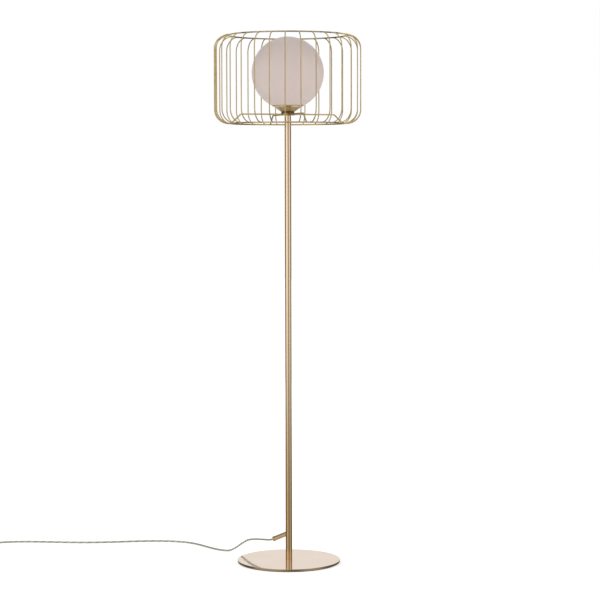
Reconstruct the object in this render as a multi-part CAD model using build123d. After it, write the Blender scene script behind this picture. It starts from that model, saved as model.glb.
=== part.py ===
from build123d import *
import math
import os

# Wire cage floor lamp: an opal globe inside a drum of bent wire ribs, on a slim pole and a disc base.
# Millimetres. The floor is z = 0, +Z is up, +X is to the right and -Y towards the viewer.

os.makedirs("parts", exist_ok=True)

# Base: a steel disc on a thin pad, held to the pole by one countersunk screw from below
BASE_D = 288.0
BASE_T = 6.0
BASE_EDGE = 0.8
PAD_T = 2.0
PAD_INSET = 4.0
PAD_HOLE_D = 30.0
SCREW_D = 8.0
SCREW_HEAD_D = 16.0
SCREW_HEAD_T = 4.4
SCREW_SUNK = 0.3
SCREW_REACH = 20.0
SCREW_HEX = 5.0
SCREW_HEX_DEPTH = 2.6
SCREW_CLEAR = 0.15

# Pole and what is pressed into its ends
POLE_D = 18.0
POLE_WALL = 1.2
POLE_LEN = 1244.0
PRESS_CLEAR = 0.05
FOOT_LEN = 24.0
INSERT_LEN = 18.0
NIPPLE_D = 10.0
NIPPLE_BORE = 7.0
NIPPLE_GRIP = 14.0
NIPPLE_ABOVE = 3.0
NIPPLE_CLEAR = 0.1

# Cable outlet: a tube that slopes down and away from the pole
SLEEVE_Z = 83.0
SLEEVE_D = 13.0
SLEEVE_BORE = 9.0
SLEEVE_REACH = 61.0
SLEEVE_FALL = 23.4
SLEEVE_BACK = 40.0
SLEEVE_CLEAR = 0.15
BEAD_D = 15.0
BEAD_W = 3.0
BUSH_LEN = 9.0
BUSH_CLEAR = 0.05
BUSH_GRIP = 0.1

# Cage: ribs bent from wire between two rings, carried by four arms from a hub
RIB_COUNT = 30
RIB_D = 3.0
RIB_PHASE = -92.0
CAGE_R = 203.0
CAGE_H = 243.0
CORNER_R = 38.0
RIB_STUB = 1.0
RING_D = 4.0
WELD_BITE = 0.5
ARM_COUNT = 4
ARM_D = 4.0
ARM_PHASE = 18.0
ARM_BEND_R = 136.0
ARM_BEND = 9.0
ARM_DROP = 25.0
HUB_D = 39.0
HUB_T = 6.0
HUB_EDGE = 0.6

# Cup under the globe, with a black spacer between it and the hub
SPACER_D = 37.0
SPACER_T = 4.0
CUP_SHEET = 1.2
CUP_FLOOR_R = 19.0
CUP_CONE_H = 12.8
SEAT_IN_R = 37.0
CUP_RIM_R = 45.0
SEAT_GAP = 0.3

# Globe and the leaf clips that hold its mouth
GLOBE_R = 100.0
GLOBE_WALL = 3.0
MOUTH_R = 35.0
CLIP_COUNT = 3
CLIP_T = 0.8
CLIP_W = 9.0
CLIP_RING_R = 15.5
CLIP_LIFT = 0.5
CLIP_GAP = 0.3
CLIP_TIP_R = 30.5
CLIP_TIP_UP = 13.0

# Lampholder, standard E27 sizes
HOLDER_R = 19.5
HOLDER_FOOT_R = 16.5
HOLDER_FLOOR = 2.5
HOLDER_STEP_R = 14.0
HOLDER_STEP_Z = 13.0
HOLDER_CAP_H = 19.0
HOLDER_H = 47.0
SKIRT_R = 17.5
SKIRT_CLEAR = 0.2
SHELL_IN_R = 16.6
SHELL_LIP = 3.0
SHELL_LIP_R = 15.0
INSERT_T = 7.0
INSERT_CLEAR = 0.2
THREAD_R = 14.6
THREAD_WALL = 0.8
CONTACT_R = 4.0
CONTACT_T = 1.5

# Bulb, standard A60 with an E27 cap
BULB_R = 30.0
BULB_LEN = 105.0
BULB_WALL = 0.8
BULB_CAP_R = 13.2
BULB_CAP_WALL = 0.6
BULB_CAP_Z = 3.6
BULB_CAP_TOP = 26.5
BULB_TIP_R = 4.8
BULB_TIP_T = 1.0
BULB_GLAZE_R = 9.0
BULB_SEAT = 0.3

# Flex
CORD_D = 5.0
CORD_SIDES = 8
INNER_BEND = 12.0
COIL_R = 31.2
COIL_PITCH = 5.6
COIL_IN = 4
COIL_OUT = 5
COIL_AT = (-905.0, 49.0)

# Foot switch on the flex, which runs through it along Y
SWITCH_AT = (-905.0, 185.0)
SWITCH_R = 33.0
SWITCH_WALL = 2.0
SWITCH_BASE_H = 10.0
SWITCH_H = 21.0
SWITCH_TOP_R = 24.0
SWITCH_CORD_Z = 7.0
BOOT_D = 10.0
BOOT_REACH = 41.0
BUTTON_R = 13.0
BUTTON_CLEAR = 0.3
BUTTON_UP = 3.5
BUTTON_WALL = 2.0
FLANGE_R = 15.5
FLANGE_T = 1.5
PRESS_TRAVEL = 2.0
SPRING_R = 8.0
SPRING_WIRE = 1.0
SPRING_TURNS = 3
BOSS_COUNT = 4
BOSS_PHASE = 45.0
BOSS_AT_R = 25.0
BOSS_D = 6.5
TAPPER_D = 2.9
TAPPER_HEAD_D = 5.5
TAPPER_HEAD_T = 1.3
TAPPER_LEN = 8.0
TAPPER_CLEAR = 0.1
BLADE_SIZE = (4.0, 9.0, 1.0)
BLADE_POST = 4.0
BLADE_APART = 22.0

# Two pin mains plug, standard sizes
PLUG_T = 13.7
PLUG_LEN = 36.0
PLUG_W = 35.0
PLUG_NECK_W = 12.0
PLUG_SHOULDER = 20.0
PLUG_EDGE = 2.0
PIN_D = 4.0
PIN_OUT = 19.0
PIN_IN = 8.0
PIN_APART = 18.6
PIN_CLEAR = 0.05

# Heights that follow from the sizes above
BASE_TOP = PAD_T + BASE_T
POLE_TOP = BASE_TOP + POLE_LEN
POLE_BORE_R = POLE_D / 2 - POLE_WALL
HUB_TOP = POLE_TOP + HUB_T
ARM_Z = POLE_TOP + HUB_T / 2
LOW_RING_Z = ARM_Z - ARM_DROP
TOP_RING_Z = LOW_RING_Z + CAGE_H
RING_R = CAGE_R - CORNER_R - RIB_STUB - RING_D / 2 + WELD_BITE
CUP_Z = HUB_TOP + SPACER_T
CUP_INSIDE_Z = CUP_Z + CUP_SHEET
SEAT_R = GLOBE_R + SEAT_GAP
GLOBE_Z = CUP_Z + CUP_CONE_H + math.sqrt((SEAT_R + CUP_SHEET) ** 2 - SEAT_IN_R**2)
HOLDER_Z = CUP_INSIDE_Z + CLIP_T
CONTACT_Z = HOLDER_Z + HOLDER_STEP_Z + INSERT_T
BULB_Z = CONTACT_Z + CONTACT_T + BULB_SEAT
NIPPLE_TOP = HOLDER_Z + HOLDER_FLOOR + NIPPLE_ABOVE

# Routes of the flex, chosen by hand from where it is seen to lie
FLOOR_Z = CORD_D / 2
PLUG_Z = PLUG_T / 2
COIL_TOP_Z = FLOOR_Z + COIL_PITCH
RUN_POINTS = [
    (-75.6, 70.0, 51.2),
    (-101.6, 100.0, 46.3),
    (-119.2, 122.0, 39.7),
    (-136.8, 135.0, 26.3),
    (-154.4, 145.0, 13.3),
    (-172.0, 153.5, FLOOR_Z),
    (-198.0, 166.5, FLOOR_Z),
    (-224.0, 191.5, FLOOR_Z),
    (-243.5, 219.0, FLOOR_Z),
    (-263.0, 246.0, FLOOR_Z),
    (-290.0, 275.0, FLOOR_Z),
    (-333.0, 297.0, FLOOR_Z),
    (-392.0, 306.0, FLOOR_Z),
    (-458.0, 301.0, FLOOR_Z),
    (-526.0, 289.0, FLOOR_Z),
    (-595.0, 283.0, FLOOR_Z),
    (-664.0, 288.0, FLOOR_Z),
    (-731.0, 298.0, FLOOR_Z),
    (-793.0, 301.0, FLOOR_Z),
    (-840.0, 295.0, FLOOR_Z),
    (-875.0, 279.0, FLOOR_Z),
    (-897.0, 260.0, 4.6),
]


def save(name, *solids):
    """Write one node, made of one or more solids."""
    shape = solids[0] if len(solids) == 1 else Compound(children=list(solids))
    export_step(shape, f"parts/{name}.step")
    box = shape.bounding_box()
    print(f"{name}: {sum(s.volume for s in solids) / 1000:.2f} cm3, z {box.min.Z:.1f} to {box.max.Z:.1f}")


def turned(*edges):
    """Spin a closed outline of edges, drawn in X and Z, about the Z axis."""
    return revolve(make_face(list(edges)), axis=Axis.Z)


def ring(outer_r, inner_r, z, height):
    """A plain washer or tube standing on z."""
    body = Pos(0, 0, z) * Cylinder(outer_r, height, align=(Align.CENTER, Align.CENTER, Align.MIN))
    hole = Pos(0, 0, z - 1) * Cylinder(inner_r, height + 2, align=(Align.CENTER, Align.CENTER, Align.MIN))
    return body - hole


def around(solid, count, phase):
    """Copies of a solid, spread evenly about the Z axis."""
    return [Rot(0, 0, phase + 360 * k / count) * solid for k in range(count)]


def outline(*points):
    """The closed loop of straight edges through points given as radius and height."""
    return Polyline(*[(r, 0, z) for r, z in points], close=True)


def rod(diameter, path):
    """A round wire along a path."""
    section = Plane(origin=path @ 0, z_dir=path % 0) * Circle(diameter / 2)
    return sweep(section, path=path)


# ---- base and pole


def base_pad():
    return ring(BASE_D / 2 - PAD_INSET, PAD_HOLE_D / 2, 0, PAD_T)


def base_plate():
    plate = ring(BASE_D / 2, SCREW_D / 2 + SCREW_CLEAR, PAD_T, BASE_T)
    rim = plate.edges().filter_by(GeomType.CIRCLE).group_by(lambda e: e.radius)[-1]
    plate = fillet(rim, BASE_EDGE)
    sink_r = SCREW_HEAD_D / 2 + SCREW_CLEAR
    stem_r = SCREW_D / 2 + SCREW_CLEAR
    sink_z = PAD_T + SCREW_SUNK
    cone_top = sink_z + SCREW_HEAD_T
    sink = turned(outline((0, PAD_T), (sink_r, PAD_T), (sink_r, sink_z), (stem_r, cone_top), (0, cone_top)))
    return plate - sink


def base_screw():
    head_z = PAD_T + SCREW_SUNK
    cone_top = head_z + SCREW_HEAD_T
    stem_top = BASE_TOP + SCREW_REACH
    head_r = SCREW_HEAD_D / 2
    stem_r = SCREW_D / 2
    screw = turned(outline((0, head_z), (head_r, head_z), (stem_r, cone_top), (stem_r, stem_top), (0, stem_top)))
    socket = extrude(RegularPolygon(SCREW_HEX / 2, 6, major_radius=False), SCREW_HEX_DEPTH)
    return screw - Pos(0, 0, head_z) * socket


def pole_foot():
    return ring(POLE_BORE_R - PRESS_CLEAR, SCREW_D / 2 + SCREW_CLEAR, BASE_TOP, FOOT_LEN)


def outlet_plane():
    """On the pole's axis where the outlet tube starts, with its Z axis along that tube."""
    fall = math.radians(SLEEVE_FALL)
    back = math.radians(SLEEVE_BACK)
    along = (-math.cos(back) * math.cos(fall), math.sin(back) * math.cos(fall), -math.sin(fall))
    return Plane(origin=(0, 0, SLEEVE_Z), x_dir=(-along[1], along[0], 0), z_dir=along)


def pole():
    tube = ring(POLE_D / 2, POLE_BORE_R, BASE_TOP, POLE_LEN)
    side_hole = outlet_plane() * Cylinder(
        SLEEVE_D / 2 + SLEEVE_CLEAR, POLE_D, align=(Align.CENTER, Align.CENTER, Align.MIN)
    )
    return tube - side_hole


def cable_sleeve():
    tube = ring(SLEEVE_D / 2, SLEEVE_BORE / 2, 0, SLEEVE_REACH)
    bead = ring(BEAD_D / 2, SLEEVE_BORE / 2, SLEEVE_REACH - BEAD_W, BEAD_W)
    rims = bead.edges().filter_by(GeomType.CIRCLE).group_by(lambda e: e.radius)[-1]
    bead = fillet(rims, (BEAD_D - SLEEVE_D) / 2 - 0.05)
    inside_pole = Cylinder(POLE_BORE_R, 4 * POLE_D)
    return outlet_plane() * (tube + bead) - Pos(0, 0, SLEEVE_Z) * inside_pole


def sleeve_bush():
    outer = SLEEVE_BORE / 2 - BUSH_CLEAR
    inner = CORD_D / 2 + BUSH_GRIP
    return outlet_plane() * ring(outer, inner, SLEEVE_REACH - BUSH_LEN, BUSH_LEN)


def top_insert():
    return ring(POLE_BORE_R - PRESS_CLEAR, NIPPLE_D / 2 + NIPPLE_CLEAR, POLE_TOP - INSERT_LEN, INSERT_LEN)


def nipple():
    low = POLE_TOP - NIPPLE_GRIP
    return ring(NIPPLE_D / 2, NIPPLE_BORE / 2, low, NIPPLE_TOP - low)


# ---- cage


def cage_hub():
    hub = ring(HUB_D / 2, NIPPLE_D / 2 + NIPPLE_CLEAR, POLE_TOP, HUB_T)
    rims = hub.edges().filter_by(GeomType.CIRCLE).group_by(lambda e: e.radius)[-1]
    return fillet(rims, HUB_EDGE)


def cage_arms():
    """Each arm runs level from the hub, then bends down and out onto the lower ring."""
    rise = ARM_Z - LOW_RING_Z
    out = RING_R - ARM_BEND_R
    short = (RING_D / 2 - WELD_BITE) / math.hypot(rise, out)
    foot = (RING_R - out * short, 0, LOW_RING_Z + rise * short)
    start = (HUB_D / 2 - WELD_BITE, 0, ARM_Z)
    path = FilletPolyline(start, (ARM_BEND_R, 0, ARM_Z), foot, radius=ARM_BEND)
    return around(rod(ARM_D, path), ARM_COUNT, ARM_PHASE)


def cage_ring(z):
    return Pos(0, 0, z) * Torus(RING_R, RING_D / 2)


def cage_ribs():
    """Each rib turns in through a quarter circle at both ends and butts on the outside of the rings."""
    end_r = CAGE_R - CORNER_R - RIB_STUB
    path = FilletPolyline(
        (end_r, 0, LOW_RING_Z),
        (CAGE_R, 0, LOW_RING_Z),
        (CAGE_R, 0, TOP_RING_Z),
        (end_r, 0, TOP_RING_Z),
        radius=CORNER_R,
    )
    return around(rod(RIB_D, path), RIB_COUNT, RIB_PHASE)


# ---- cup and globe


def cup_spacer():
    return ring(SPACER_D / 2, NIPPLE_D / 2 + NIPPLE_CLEAR, HUB_TOP, SPACER_T)


def on_sphere(radius, r):
    """Height of the lower half of a sphere about the globe's centre, at radius r from the axis."""
    return GLOBE_Z - math.sqrt(radius**2 - r**2)


def sphere_arc(radius, r_from, r_to):
    r_mid = (r_from + r_to) / 2
    return ThreePointArc(
        (r_from, 0, on_sphere(radius, r_from)),
        (r_mid, 0, on_sphere(radius, r_mid)),
        (r_to, 0, on_sphere(radius, r_to)),
    )


def cup_cone():
    """The cone's outer line as start point and unit direction, in radius and height."""
    out = SEAT_IN_R - CUP_FLOOR_R
    slant = math.hypot(out, CUP_CONE_H)
    return out / slant, CUP_CONE_H / slant


def holder_cup():
    """A spun cup: flat floor, cone, and a flared rim that follows the globe."""
    bore = NIPPLE_D / 2 + NIPPLE_CLEAR
    along, up = cup_cone()
    inner_floor_r = CUP_FLOOR_R - CUP_SHEET * (1 - along) / up
    under = sphere_arc(SEAT_R + CUP_SHEET, SEAT_IN_R, CUP_RIM_R)
    over = sphere_arc(SEAT_R, CUP_RIM_R, SEAT_IN_R)
    rim = Line(under @ 1, over @ 0)
    body = Polyline(
        over @ 1,
        (inner_floor_r, 0, CUP_INSIDE_Z),
        (bore, 0, CUP_INSIDE_Z),
        (bore, 0, CUP_Z),
        (CUP_FLOOR_R, 0, CUP_Z),
        under @ 0,
    )
    return turned(under, rim, over, body)


def globe():
    """A blown globe, open at the bottom."""
    inside_r = GLOBE_R - GLOBE_WALL
    half = math.sqrt(0.5)
    outer_low = on_sphere(GLOBE_R, MOUTH_R)
    inner_low = on_sphere(inside_r, MOUTH_R)
    outer = ThreePointArc((MOUTH_R, 0, outer_low), (GLOBE_R, 0, GLOBE_Z), (0, 0, GLOBE_Z + GLOBE_R))
    inner = ThreePointArc((0, 0, GLOBE_Z + inside_r), (inside_r, 0, GLOBE_Z), (MOUTH_R, 0, inner_low))
    return turned(outer, Line(outer @ 1, inner @ 0), inner, Line(inner @ 1, outer @ 0))


def globe_clips():
    """One stamped spring: a washer under the lampholder and leaves that bow out to the globe's mouth."""
    washer = ring(CLIP_RING_R, NIPPLE_D / 2 + NIPPLE_CLEAR, CUP_INSIDE_Z, CLIP_T)
    along, up = cup_cone()
    offset = CUP_SHEET + CLIP_LIFT + CLIP_T / 2
    low_z = CUP_INSIDE_Z + CLIP_T / 2
    bow_r = MOUTH_R - CLIP_GAP - CLIP_T / 2
    toe_r = CUP_FLOOR_R + (CUP_SHEET - CLIP_T) / 2 - CLIP_LIFT / up - CLIP_T
    bow_z = CUP_Z + (bow_r - CUP_FLOOR_R) * up / along + offset / along
    path = FilletPolyline(
        (CLIP_RING_R - 2, 0, low_z),
        (toe_r, 0, low_z),
        (bow_r, 0, bow_z),
        (CLIP_TIP_R, 0, bow_z + CLIP_TIP_UP),
        radius=2 * CLIP_T,
    )
    section = Plane(origin=path @ 0, x_dir=(0, 1, 0), z_dir=path % 0) * Rectangle(CLIP_W, CLIP_T)
    leaf = sweep(section, path=path)
    return washer + around(leaf, CLIP_COUNT, 0)


# ---- lampholder and bulb


def lampholder_cap():
    z = HOLDER_Z
    bore = NIPPLE_D / 2 + NIPPLE_CLEAR
    return turned(
        outline(
            (bore, z),
            (HOLDER_FOOT_R, z),
            (HOLDER_R, z + 2 * (HOLDER_R - HOLDER_FOOT_R)),
            (HOLDER_R, z + HOLDER_CAP_H),
            (SKIRT_R + SKIRT_CLEAR, z + HOLDER_CAP_H),
            (SKIRT_R + SKIRT_CLEAR, z + HOLDER_STEP_Z),
            (HOLDER_STEP_R, z + HOLDER_STEP_Z),
            (HOLDER_STEP_R, z + HOLDER_FLOOR),
            (bore, z + HOLDER_FLOOR),
        )
    )


def lampholder_shell():
    low = HOLDER_Z + HOLDER_STEP_Z
    step = HOLDER_Z + HOLDER_CAP_H
    top = HOLDER_Z + HOLDER_H
    return turned(
        outline(
            (SHELL_IN_R, low),
            (SKIRT_R, low),
            (SKIRT_R, step),
            (HOLDER_R, step),
            (HOLDER_R, top),
            (SHELL_LIP_R, top),
            (SHELL_LIP_R, top - SHELL_LIP),
            (SHELL_IN_R, top - SHELL_LIP),
        )
    )


def lampholder_insert():
    z = HOLDER_Z + HOLDER_STEP_Z
    disc = ring(SHELL_IN_R - INSERT_CLEAR, CORD_D / 2 - 1, z, INSERT_T)
    post = Pos(0, 0, CONTACT_Z) * Cylinder(CONTACT_R, 2, align=(Align.CENTER, Align.CENTER, Align.MAX))
    return disc + post


def thread_shell():
    height = HOLDER_Z + HOLDER_H - SHELL_LIP - CONTACT_Z
    return ring(THREAD_R, THREAD_R - THREAD_WALL, CONTACT_Z, height - INSERT_CLEAR)


def centre_contact():
    return Pos(0, 0, CONTACT_Z) * Cylinder(CONTACT_R, CONTACT_T, align=(Align.CENTER, Align.CENTER, Align.MIN))


def bulb_cap():
    z = BULB_Z + BULB_CAP_Z
    top = BULB_Z + BULB_CAP_TOP
    inner = BULB_CAP_R - BULB_CAP_WALL
    lead = BULB_CAP_R - BULB_GLAZE_R
    return turned(
        outline(
            (BULB_GLAZE_R, z),
            (BULB_CAP_R, z + lead / 2),
            (BULB_CAP_R, top),
            (inner, top),
            (inner, z + lead / 2 + BULB_CAP_WALL),
            (BULB_GLAZE_R, z + 2 * BULB_CAP_WALL),
        )
    )


def bulb_glaze():
    z = BULB_Z + BULB_TIP_T
    top = BULB_Z + BULB_CAP_Z
    shelf = top + 2 * BULB_CAP_WALL
    return turned(
        outline((0, z), (BULB_TIP_R, z), (BULB_GLAZE_R, top), (BULB_GLAZE_R, shelf), (0, shelf))
    )


def bulb_tip():
    return Pos(0, 0, BULB_Z) * Cylinder(BULB_TIP_R, BULB_TIP_T, align=(Align.CENTER, Align.CENTER, Align.MIN))


def bulb_outline(ball_r, neck_r, neck_z, centre_z):
    """Neck line and ball arc of a bulb, tangent to each other, from the neck's foot to the top."""
    reach = math.hypot(neck_r, centre_z - neck_z)
    lean = math.atan2(neck_r, centre_z - neck_z)
    swing = math.acos(ball_r / reach)
    touch = lean + swing
    touch_at = (ball_r * math.sin(touch), 0, centre_z - ball_r * math.cos(touch))
    middle = (touch + math.pi) / 2
    middle_at = (ball_r * math.sin(middle), 0, centre_z - ball_r * math.cos(middle))
    neck = Line((neck_r, 0, neck_z), touch_at)
    return neck, ThreePointArc(touch_at, middle_at, (0, 0, centre_z + ball_r))


def bulb_glass():
    neck_z = BULB_Z + BULB_CAP_TOP
    centre_z = BULB_Z + BULB_LEN - BULB_R
    neck, ball = bulb_outline(BULB_R, BULB_CAP_R, neck_z, centre_z)
    inner_neck, inner_ball = bulb_outline(BULB_R - BULB_WALL, BULB_CAP_R - BULB_WALL, neck_z, centre_z)
    foot = Line(inner_neck @ 0, neck @ 0)
    crown = Line(ball @ 1, inner_ball @ 1)
    return turned(foot, neck, ball, crown, inner_ball, inner_neck)


# ---- flex


def cord_section(path):
    """A polygon whose corners lie on the flex's outline, square to the start of its path."""
    start = path % 0
    level = Vector(-start.Y, start.X, 0)
    if level.length < 0.1:
        level = Vector(1, 0, 0)
    plane = Plane(origin=path @ 0, x_dir=level, z_dir=start)
    return plane * RegularPolygon(CORD_D / 2, CORD_SIDES, rotation=180 / CORD_SIDES)


def section_area():
    return CORD_SIDES / 2 * (CORD_D / 2) ** 2 * math.sin(2 * math.pi / CORD_SIDES)


def cord_tube(name, points):
    """Straight runs joined by arcs that are as large as their two runs allow."""
    points = [Vector(*p) for p in points]
    radii = []
    for before, here, after in zip(points, points[1:], points[2:]):
        turn = math.radians((here - before).get_angle(after - here))
        shorter = min((here - before).length, (after - here).length)
        radii.append(0.45 * shorter / math.tan(turn / 2))
    path = FilletPolyline(*points, radius=radii)
    tube = sweep(cord_section(path), path=path)
    runs = [(b - a).length for a, b in zip(points, points[1:])]
    share = tube.volume / (section_area() * path.length)
    print(f"{name}: length {path.length:.1f}, runs {min(runs):.1f} to {max(runs):.1f}")
    print(f"{name}: radii {[round(r, 1) for r in radii]}, volume share {share:.4f}")
    return tube


def inner_cable():
    """The held stretch: from the outlet's end into the pole, up it and into the lampholder."""
    top = HOLDER_Z + HOLDER_STEP_Z
    path = FilletPolyline(outlet_end(), (0, 0, SLEEVE_Z), (0, 0, top), radius=INNER_BEND)
    return sweep(cord_section(path), path=path)


def outlet_end():
    plane = outlet_plane()
    return plane.origin + plane.z_dir * SLEEVE_REACH


def cord_run():
    """The seen stretch: off the outlet, down to the floor and away to the left."""
    start = outlet_end()
    lead = start + outlet_plane().z_dir * (2.5 * CORD_D)
    entry_y = SWITCH_AT[1] + BOOT_REACH
    last = [(SWITCH_AT[0], entry_y + 4 * CORD_D, SWITCH_CORD_Z), (SWITCH_AT[0], entry_y, SWITCH_CORD_Z)]
    return cord_tube("cord_run", [start, lead, *RUN_POINTS, *last])


def cord_lead():
    """From the foot switch to the coil."""
    x, y = SWITCH_AT
    leave_y = y - BOOT_REACH
    meet_y = COIL_AT[1] + CORD_D
    points = [
        (x, leave_y, SWITCH_CORD_Z),
        (x, leave_y - 20.0, SWITCH_CORD_Z),
        (x - 1.5, leave_y - 46.0, FLOOR_Z),
        (COIL_AT[0], meet_y + 20.0, FLOOR_Z),
        (COIL_AT[0], meet_y, FLOOR_Z),
    ]
    return cord_tube("cord_lead", points)


def half_turn(start, end, left):
    """Half a turn between two points, level at both ends, so that turns join smoothly and climb between."""
    across = end - start
    middle = (start + end) / 2 + Vector(left * across.length / 2, 0, 0)
    return ThreePointArc(start, middle, end)


def coil_path():
    """Loops that spiral in on the floor, climb one layer and spiral out again, drawn about X = 0."""
    here = Vector(0, -COIL_R, FLOOR_Z)
    edges = [Line(here + Vector(CORD_D, 0, 0), here)]
    radius = COIL_R
    side = 1
    z = FLOOR_Z
    for step in range(COIL_IN + 1 + COIL_OUT):
        if step == COIL_IN:
            z = COIL_TOP_Z
        there = Vector(0, here.Y + side * 2 * radius, z)
        edges.append(half_turn(here, there, -side))
        here = there
        radius += -COIL_PITCH / 2 if step < COIL_IN else COIL_PITCH / 2
        side = -side
    edges.append(Line(here, here + Vector(-CORD_D, 0, 0)))
    return edges, here


def coil_gap(edges):
    """Least gap of the coil's surface to itself, measured on points of its path."""
    points = []
    along = []
    total = 0.0
    for edge in edges:
        count = 40
        points += [edge @ (k / count) for k in range(count)]
        along += [total + edge.length * k / count for k in range(count)]
        total += edge.length
    gaps = []
    for i, a in enumerate(points):
        for j in range(i + 1, len(points)):
            if along[j] - along[i] > 4 * CORD_D:
                gaps.append((points[j] - a).length)
    return min(gaps) - CORD_D, total


def cord_coil():
    edges, _ = coil_path()
    gap, total = coil_gap(edges)
    path = Wire(edges)
    tube = sweep(cord_section(path), path=path)
    share = tube.volume / (section_area() * total)
    print(f"cord_coil: length {total:.1f}, least gap to itself {gap:.2f}, volume share {share:.4f}")
    return Pos(COIL_AT[0] - COIL_R, COIL_AT[1], 0) * Rot(0, 0, 90) * tube


def coil_exit():
    _, last = coil_path()
    return COIL_AT[0] - COIL_R - last.Y, COIL_AT[1] - CORD_D


def plug_entry():
    x, y = coil_exit()
    return x - 8.0, y - 94.0


def cord_tail():
    """From the coil to the plug."""
    x, y = coil_exit()
    plug_x, plug_y = plug_entry()
    points = [
        (x, y, COIL_TOP_Z),
        (x, y - 20.0, COIL_TOP_Z),
        (x - 3.0, y - 47.0, (COIL_TOP_Z + PLUG_Z) / 2),
        (plug_x, plug_y + 21.0, PLUG_Z),
        (plug_x, plug_y, PLUG_Z),
    ]
    return cord_tube("cord_tail", points)


# ---- foot switch


def at_switch(solid):
    return Pos(SWITCH_AT[0], SWITCH_AT[1], 0) * solid


def button_top():
    return SWITCH_H + BUTTON_UP


def flange_z():
    """Underside of the button's flange, which rests under the cover."""
    return SWITCH_H - SWITCH_WALL - BUTTON_CLEAR - FLANGE_T


def boss_holes(radius, z, height):
    hole = Pos(BOSS_AT_R, 0, z) * Cylinder(radius, height, align=(Align.CENTER, Align.CENTER, Align.MIN))
    return around(hole, BOSS_COUNT, BOSS_PHASE)


def switch_base():
    """Lower half: a tray with a boot at each end for the flex and sunk holes for the screws."""
    tray = Cylinder(SWITCH_R, SWITCH_BASE_H, align=(Align.CENTER, Align.CENTER, Align.MIN))
    boots = Pos(0, 0, SWITCH_CORD_Z) * Rot(90, 0, 0) * Cylinder(BOOT_D / 2, 2 * BOOT_REACH)
    tray += boots - Pos(0, 0, SWITCH_BASE_H + BOOT_D / 2) * Box(BOOT_D * 2, 2 * (SWITCH_R - 3), BOOT_D)
    inside = Pos(0, 0, SWITCH_WALL) * Cylinder(
        SWITCH_R - SWITCH_WALL, SWITCH_BASE_H + BOOT_D, align=(Align.CENTER, Align.CENTER, Align.MIN)
    )
    tray -= inside
    tray -= boss_holes(TAPPER_D / 2 + TAPPER_CLEAR, -1, SWITCH_WALL + 2)
    tray -= boss_holes(TAPPER_HEAD_D / 2 + TAPPER_CLEAR, -1, 1 + TAPPER_HEAD_T - 0.2)
    return at_switch(tray)


def switch_cover():
    """Upper half: a shallow cap with a hole for the button and bosses for the screws."""
    low = SWITCH_BASE_H
    wall = SWITCH_WALL
    cap = turned(
        outline(
            (BUTTON_R + BUTTON_CLEAR, SWITCH_H - wall),
            (SWITCH_TOP_R - wall, SWITCH_H - wall),
            (SWITCH_R - wall, low + 3),
            (SWITCH_R - wall, low),
            (SWITCH_R, low),
            (SWITCH_R, low + 3),
            (SWITCH_TOP_R, SWITCH_H),
            (BUTTON_R + BUTTON_CLEAR, SWITCH_H),
        )
    )
    top = SWITCH_H - wall
    boss = Pos(BOSS_AT_R, 0, SWITCH_WALL) * Cylinder(
        BOSS_D / 2, top - SWITCH_WALL, align=(Align.CENTER, Align.CENTER, Align.MIN)
    )
    trim = turned(outline((0, 0), (SWITCH_R - wall, 0), (SWITCH_R - wall, low + 3), (SWITCH_TOP_R - wall, top), (0, top)))
    bosses = [b & trim for b in around(boss, BOSS_COUNT, BOSS_PHASE)]
    cap += bosses
    cap -= boss_holes(TAPPER_D / 2 + TAPPER_CLEAR, 0, TAPPER_LEN + 1)
    boots = Pos(0, 0, SWITCH_CORD_Z) * Rot(90, 0, 0) * Cylinder(BOOT_D / 2 + TAPPER_CLEAR, 2 * BOOT_REACH)
    return at_switch(cap - boots)


def switch_button():
    """A hollow push button with a flange that keeps it under the cover."""
    flange = flange_z()
    top = button_top()
    inner = BUTTON_R - BUTTON_WALL
    button = turned(
        outline(
            (inner, flange),
            (FLANGE_R, flange),
            (FLANGE_R, flange + FLANGE_T),
            (BUTTON_R, flange + FLANGE_T),
            (BUTTON_R, top - 1.0),
            (BUTTON_R - 1.0, top),
            (0, top),
            (0, top - BUTTON_WALL),
            (inner, top - BUTTON_WALL),
        )
    )
    return at_switch(button)


def switch_spring():
    """A coil spring between the tray's floor and the button's roof."""
    low = SWITCH_WALL + SPRING_WIRE / 2
    high = button_top() - BUTTON_WALL - SPRING_WIRE / 2 - 0.1
    halves = 2 * SPRING_TURNS
    rise = (high - low) / halves
    edges = []
    for k in range(halves):
        side = 1 if k % 2 == 0 else -1
        start = Vector(0, -side * SPRING_R, low + k * rise)
        edges.append(half_turn(start, Vector(0, side * SPRING_R, low + (k + 1) * rise), side))
    path = Wire(edges)
    section = Plane(origin=path @ 0, z_dir=path % 0) * RegularPolygon(SPRING_WIRE / 2, 6)
    return at_switch(sweep(section, path=path))


def switch_contacts():
    """Two brass blades on posts, just below where the button's flange stops."""
    length, width, thick = BLADE_SIZE
    height = flange_z() - PRESS_TRAVEL - BUTTON_CLEAR - thick - SWITCH_WALL
    post = Cylinder(BLADE_POST / 2, height, align=(Align.CENTER, Align.CENTER, Align.MIN))
    blade = Pos(0, 0, height) * Box(length, width, thick, align=(Align.CENTER, Align.CENTER, Align.MIN))
    one = Pos(BLADE_APART / 2, 0, SWITCH_WALL) * (post + blade)
    return [at_switch(s) for s in around(one, 2, 0)]


def switch_screws():
    head = Cylinder(TAPPER_HEAD_D / 2, TAPPER_HEAD_T - 0.4, align=(Align.CENTER, Align.CENTER, Align.MIN))
    stem = Cylinder(TAPPER_D / 2, TAPPER_LEN, align=(Align.CENTER, Align.CENTER, Align.MIN))
    one = Pos(BOSS_AT_R, 0, 0.2) * (head + stem)
    return [at_switch(s) for s in around(one, BOSS_COUNT, BOSS_PHASE)]


# ---- plug


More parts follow.
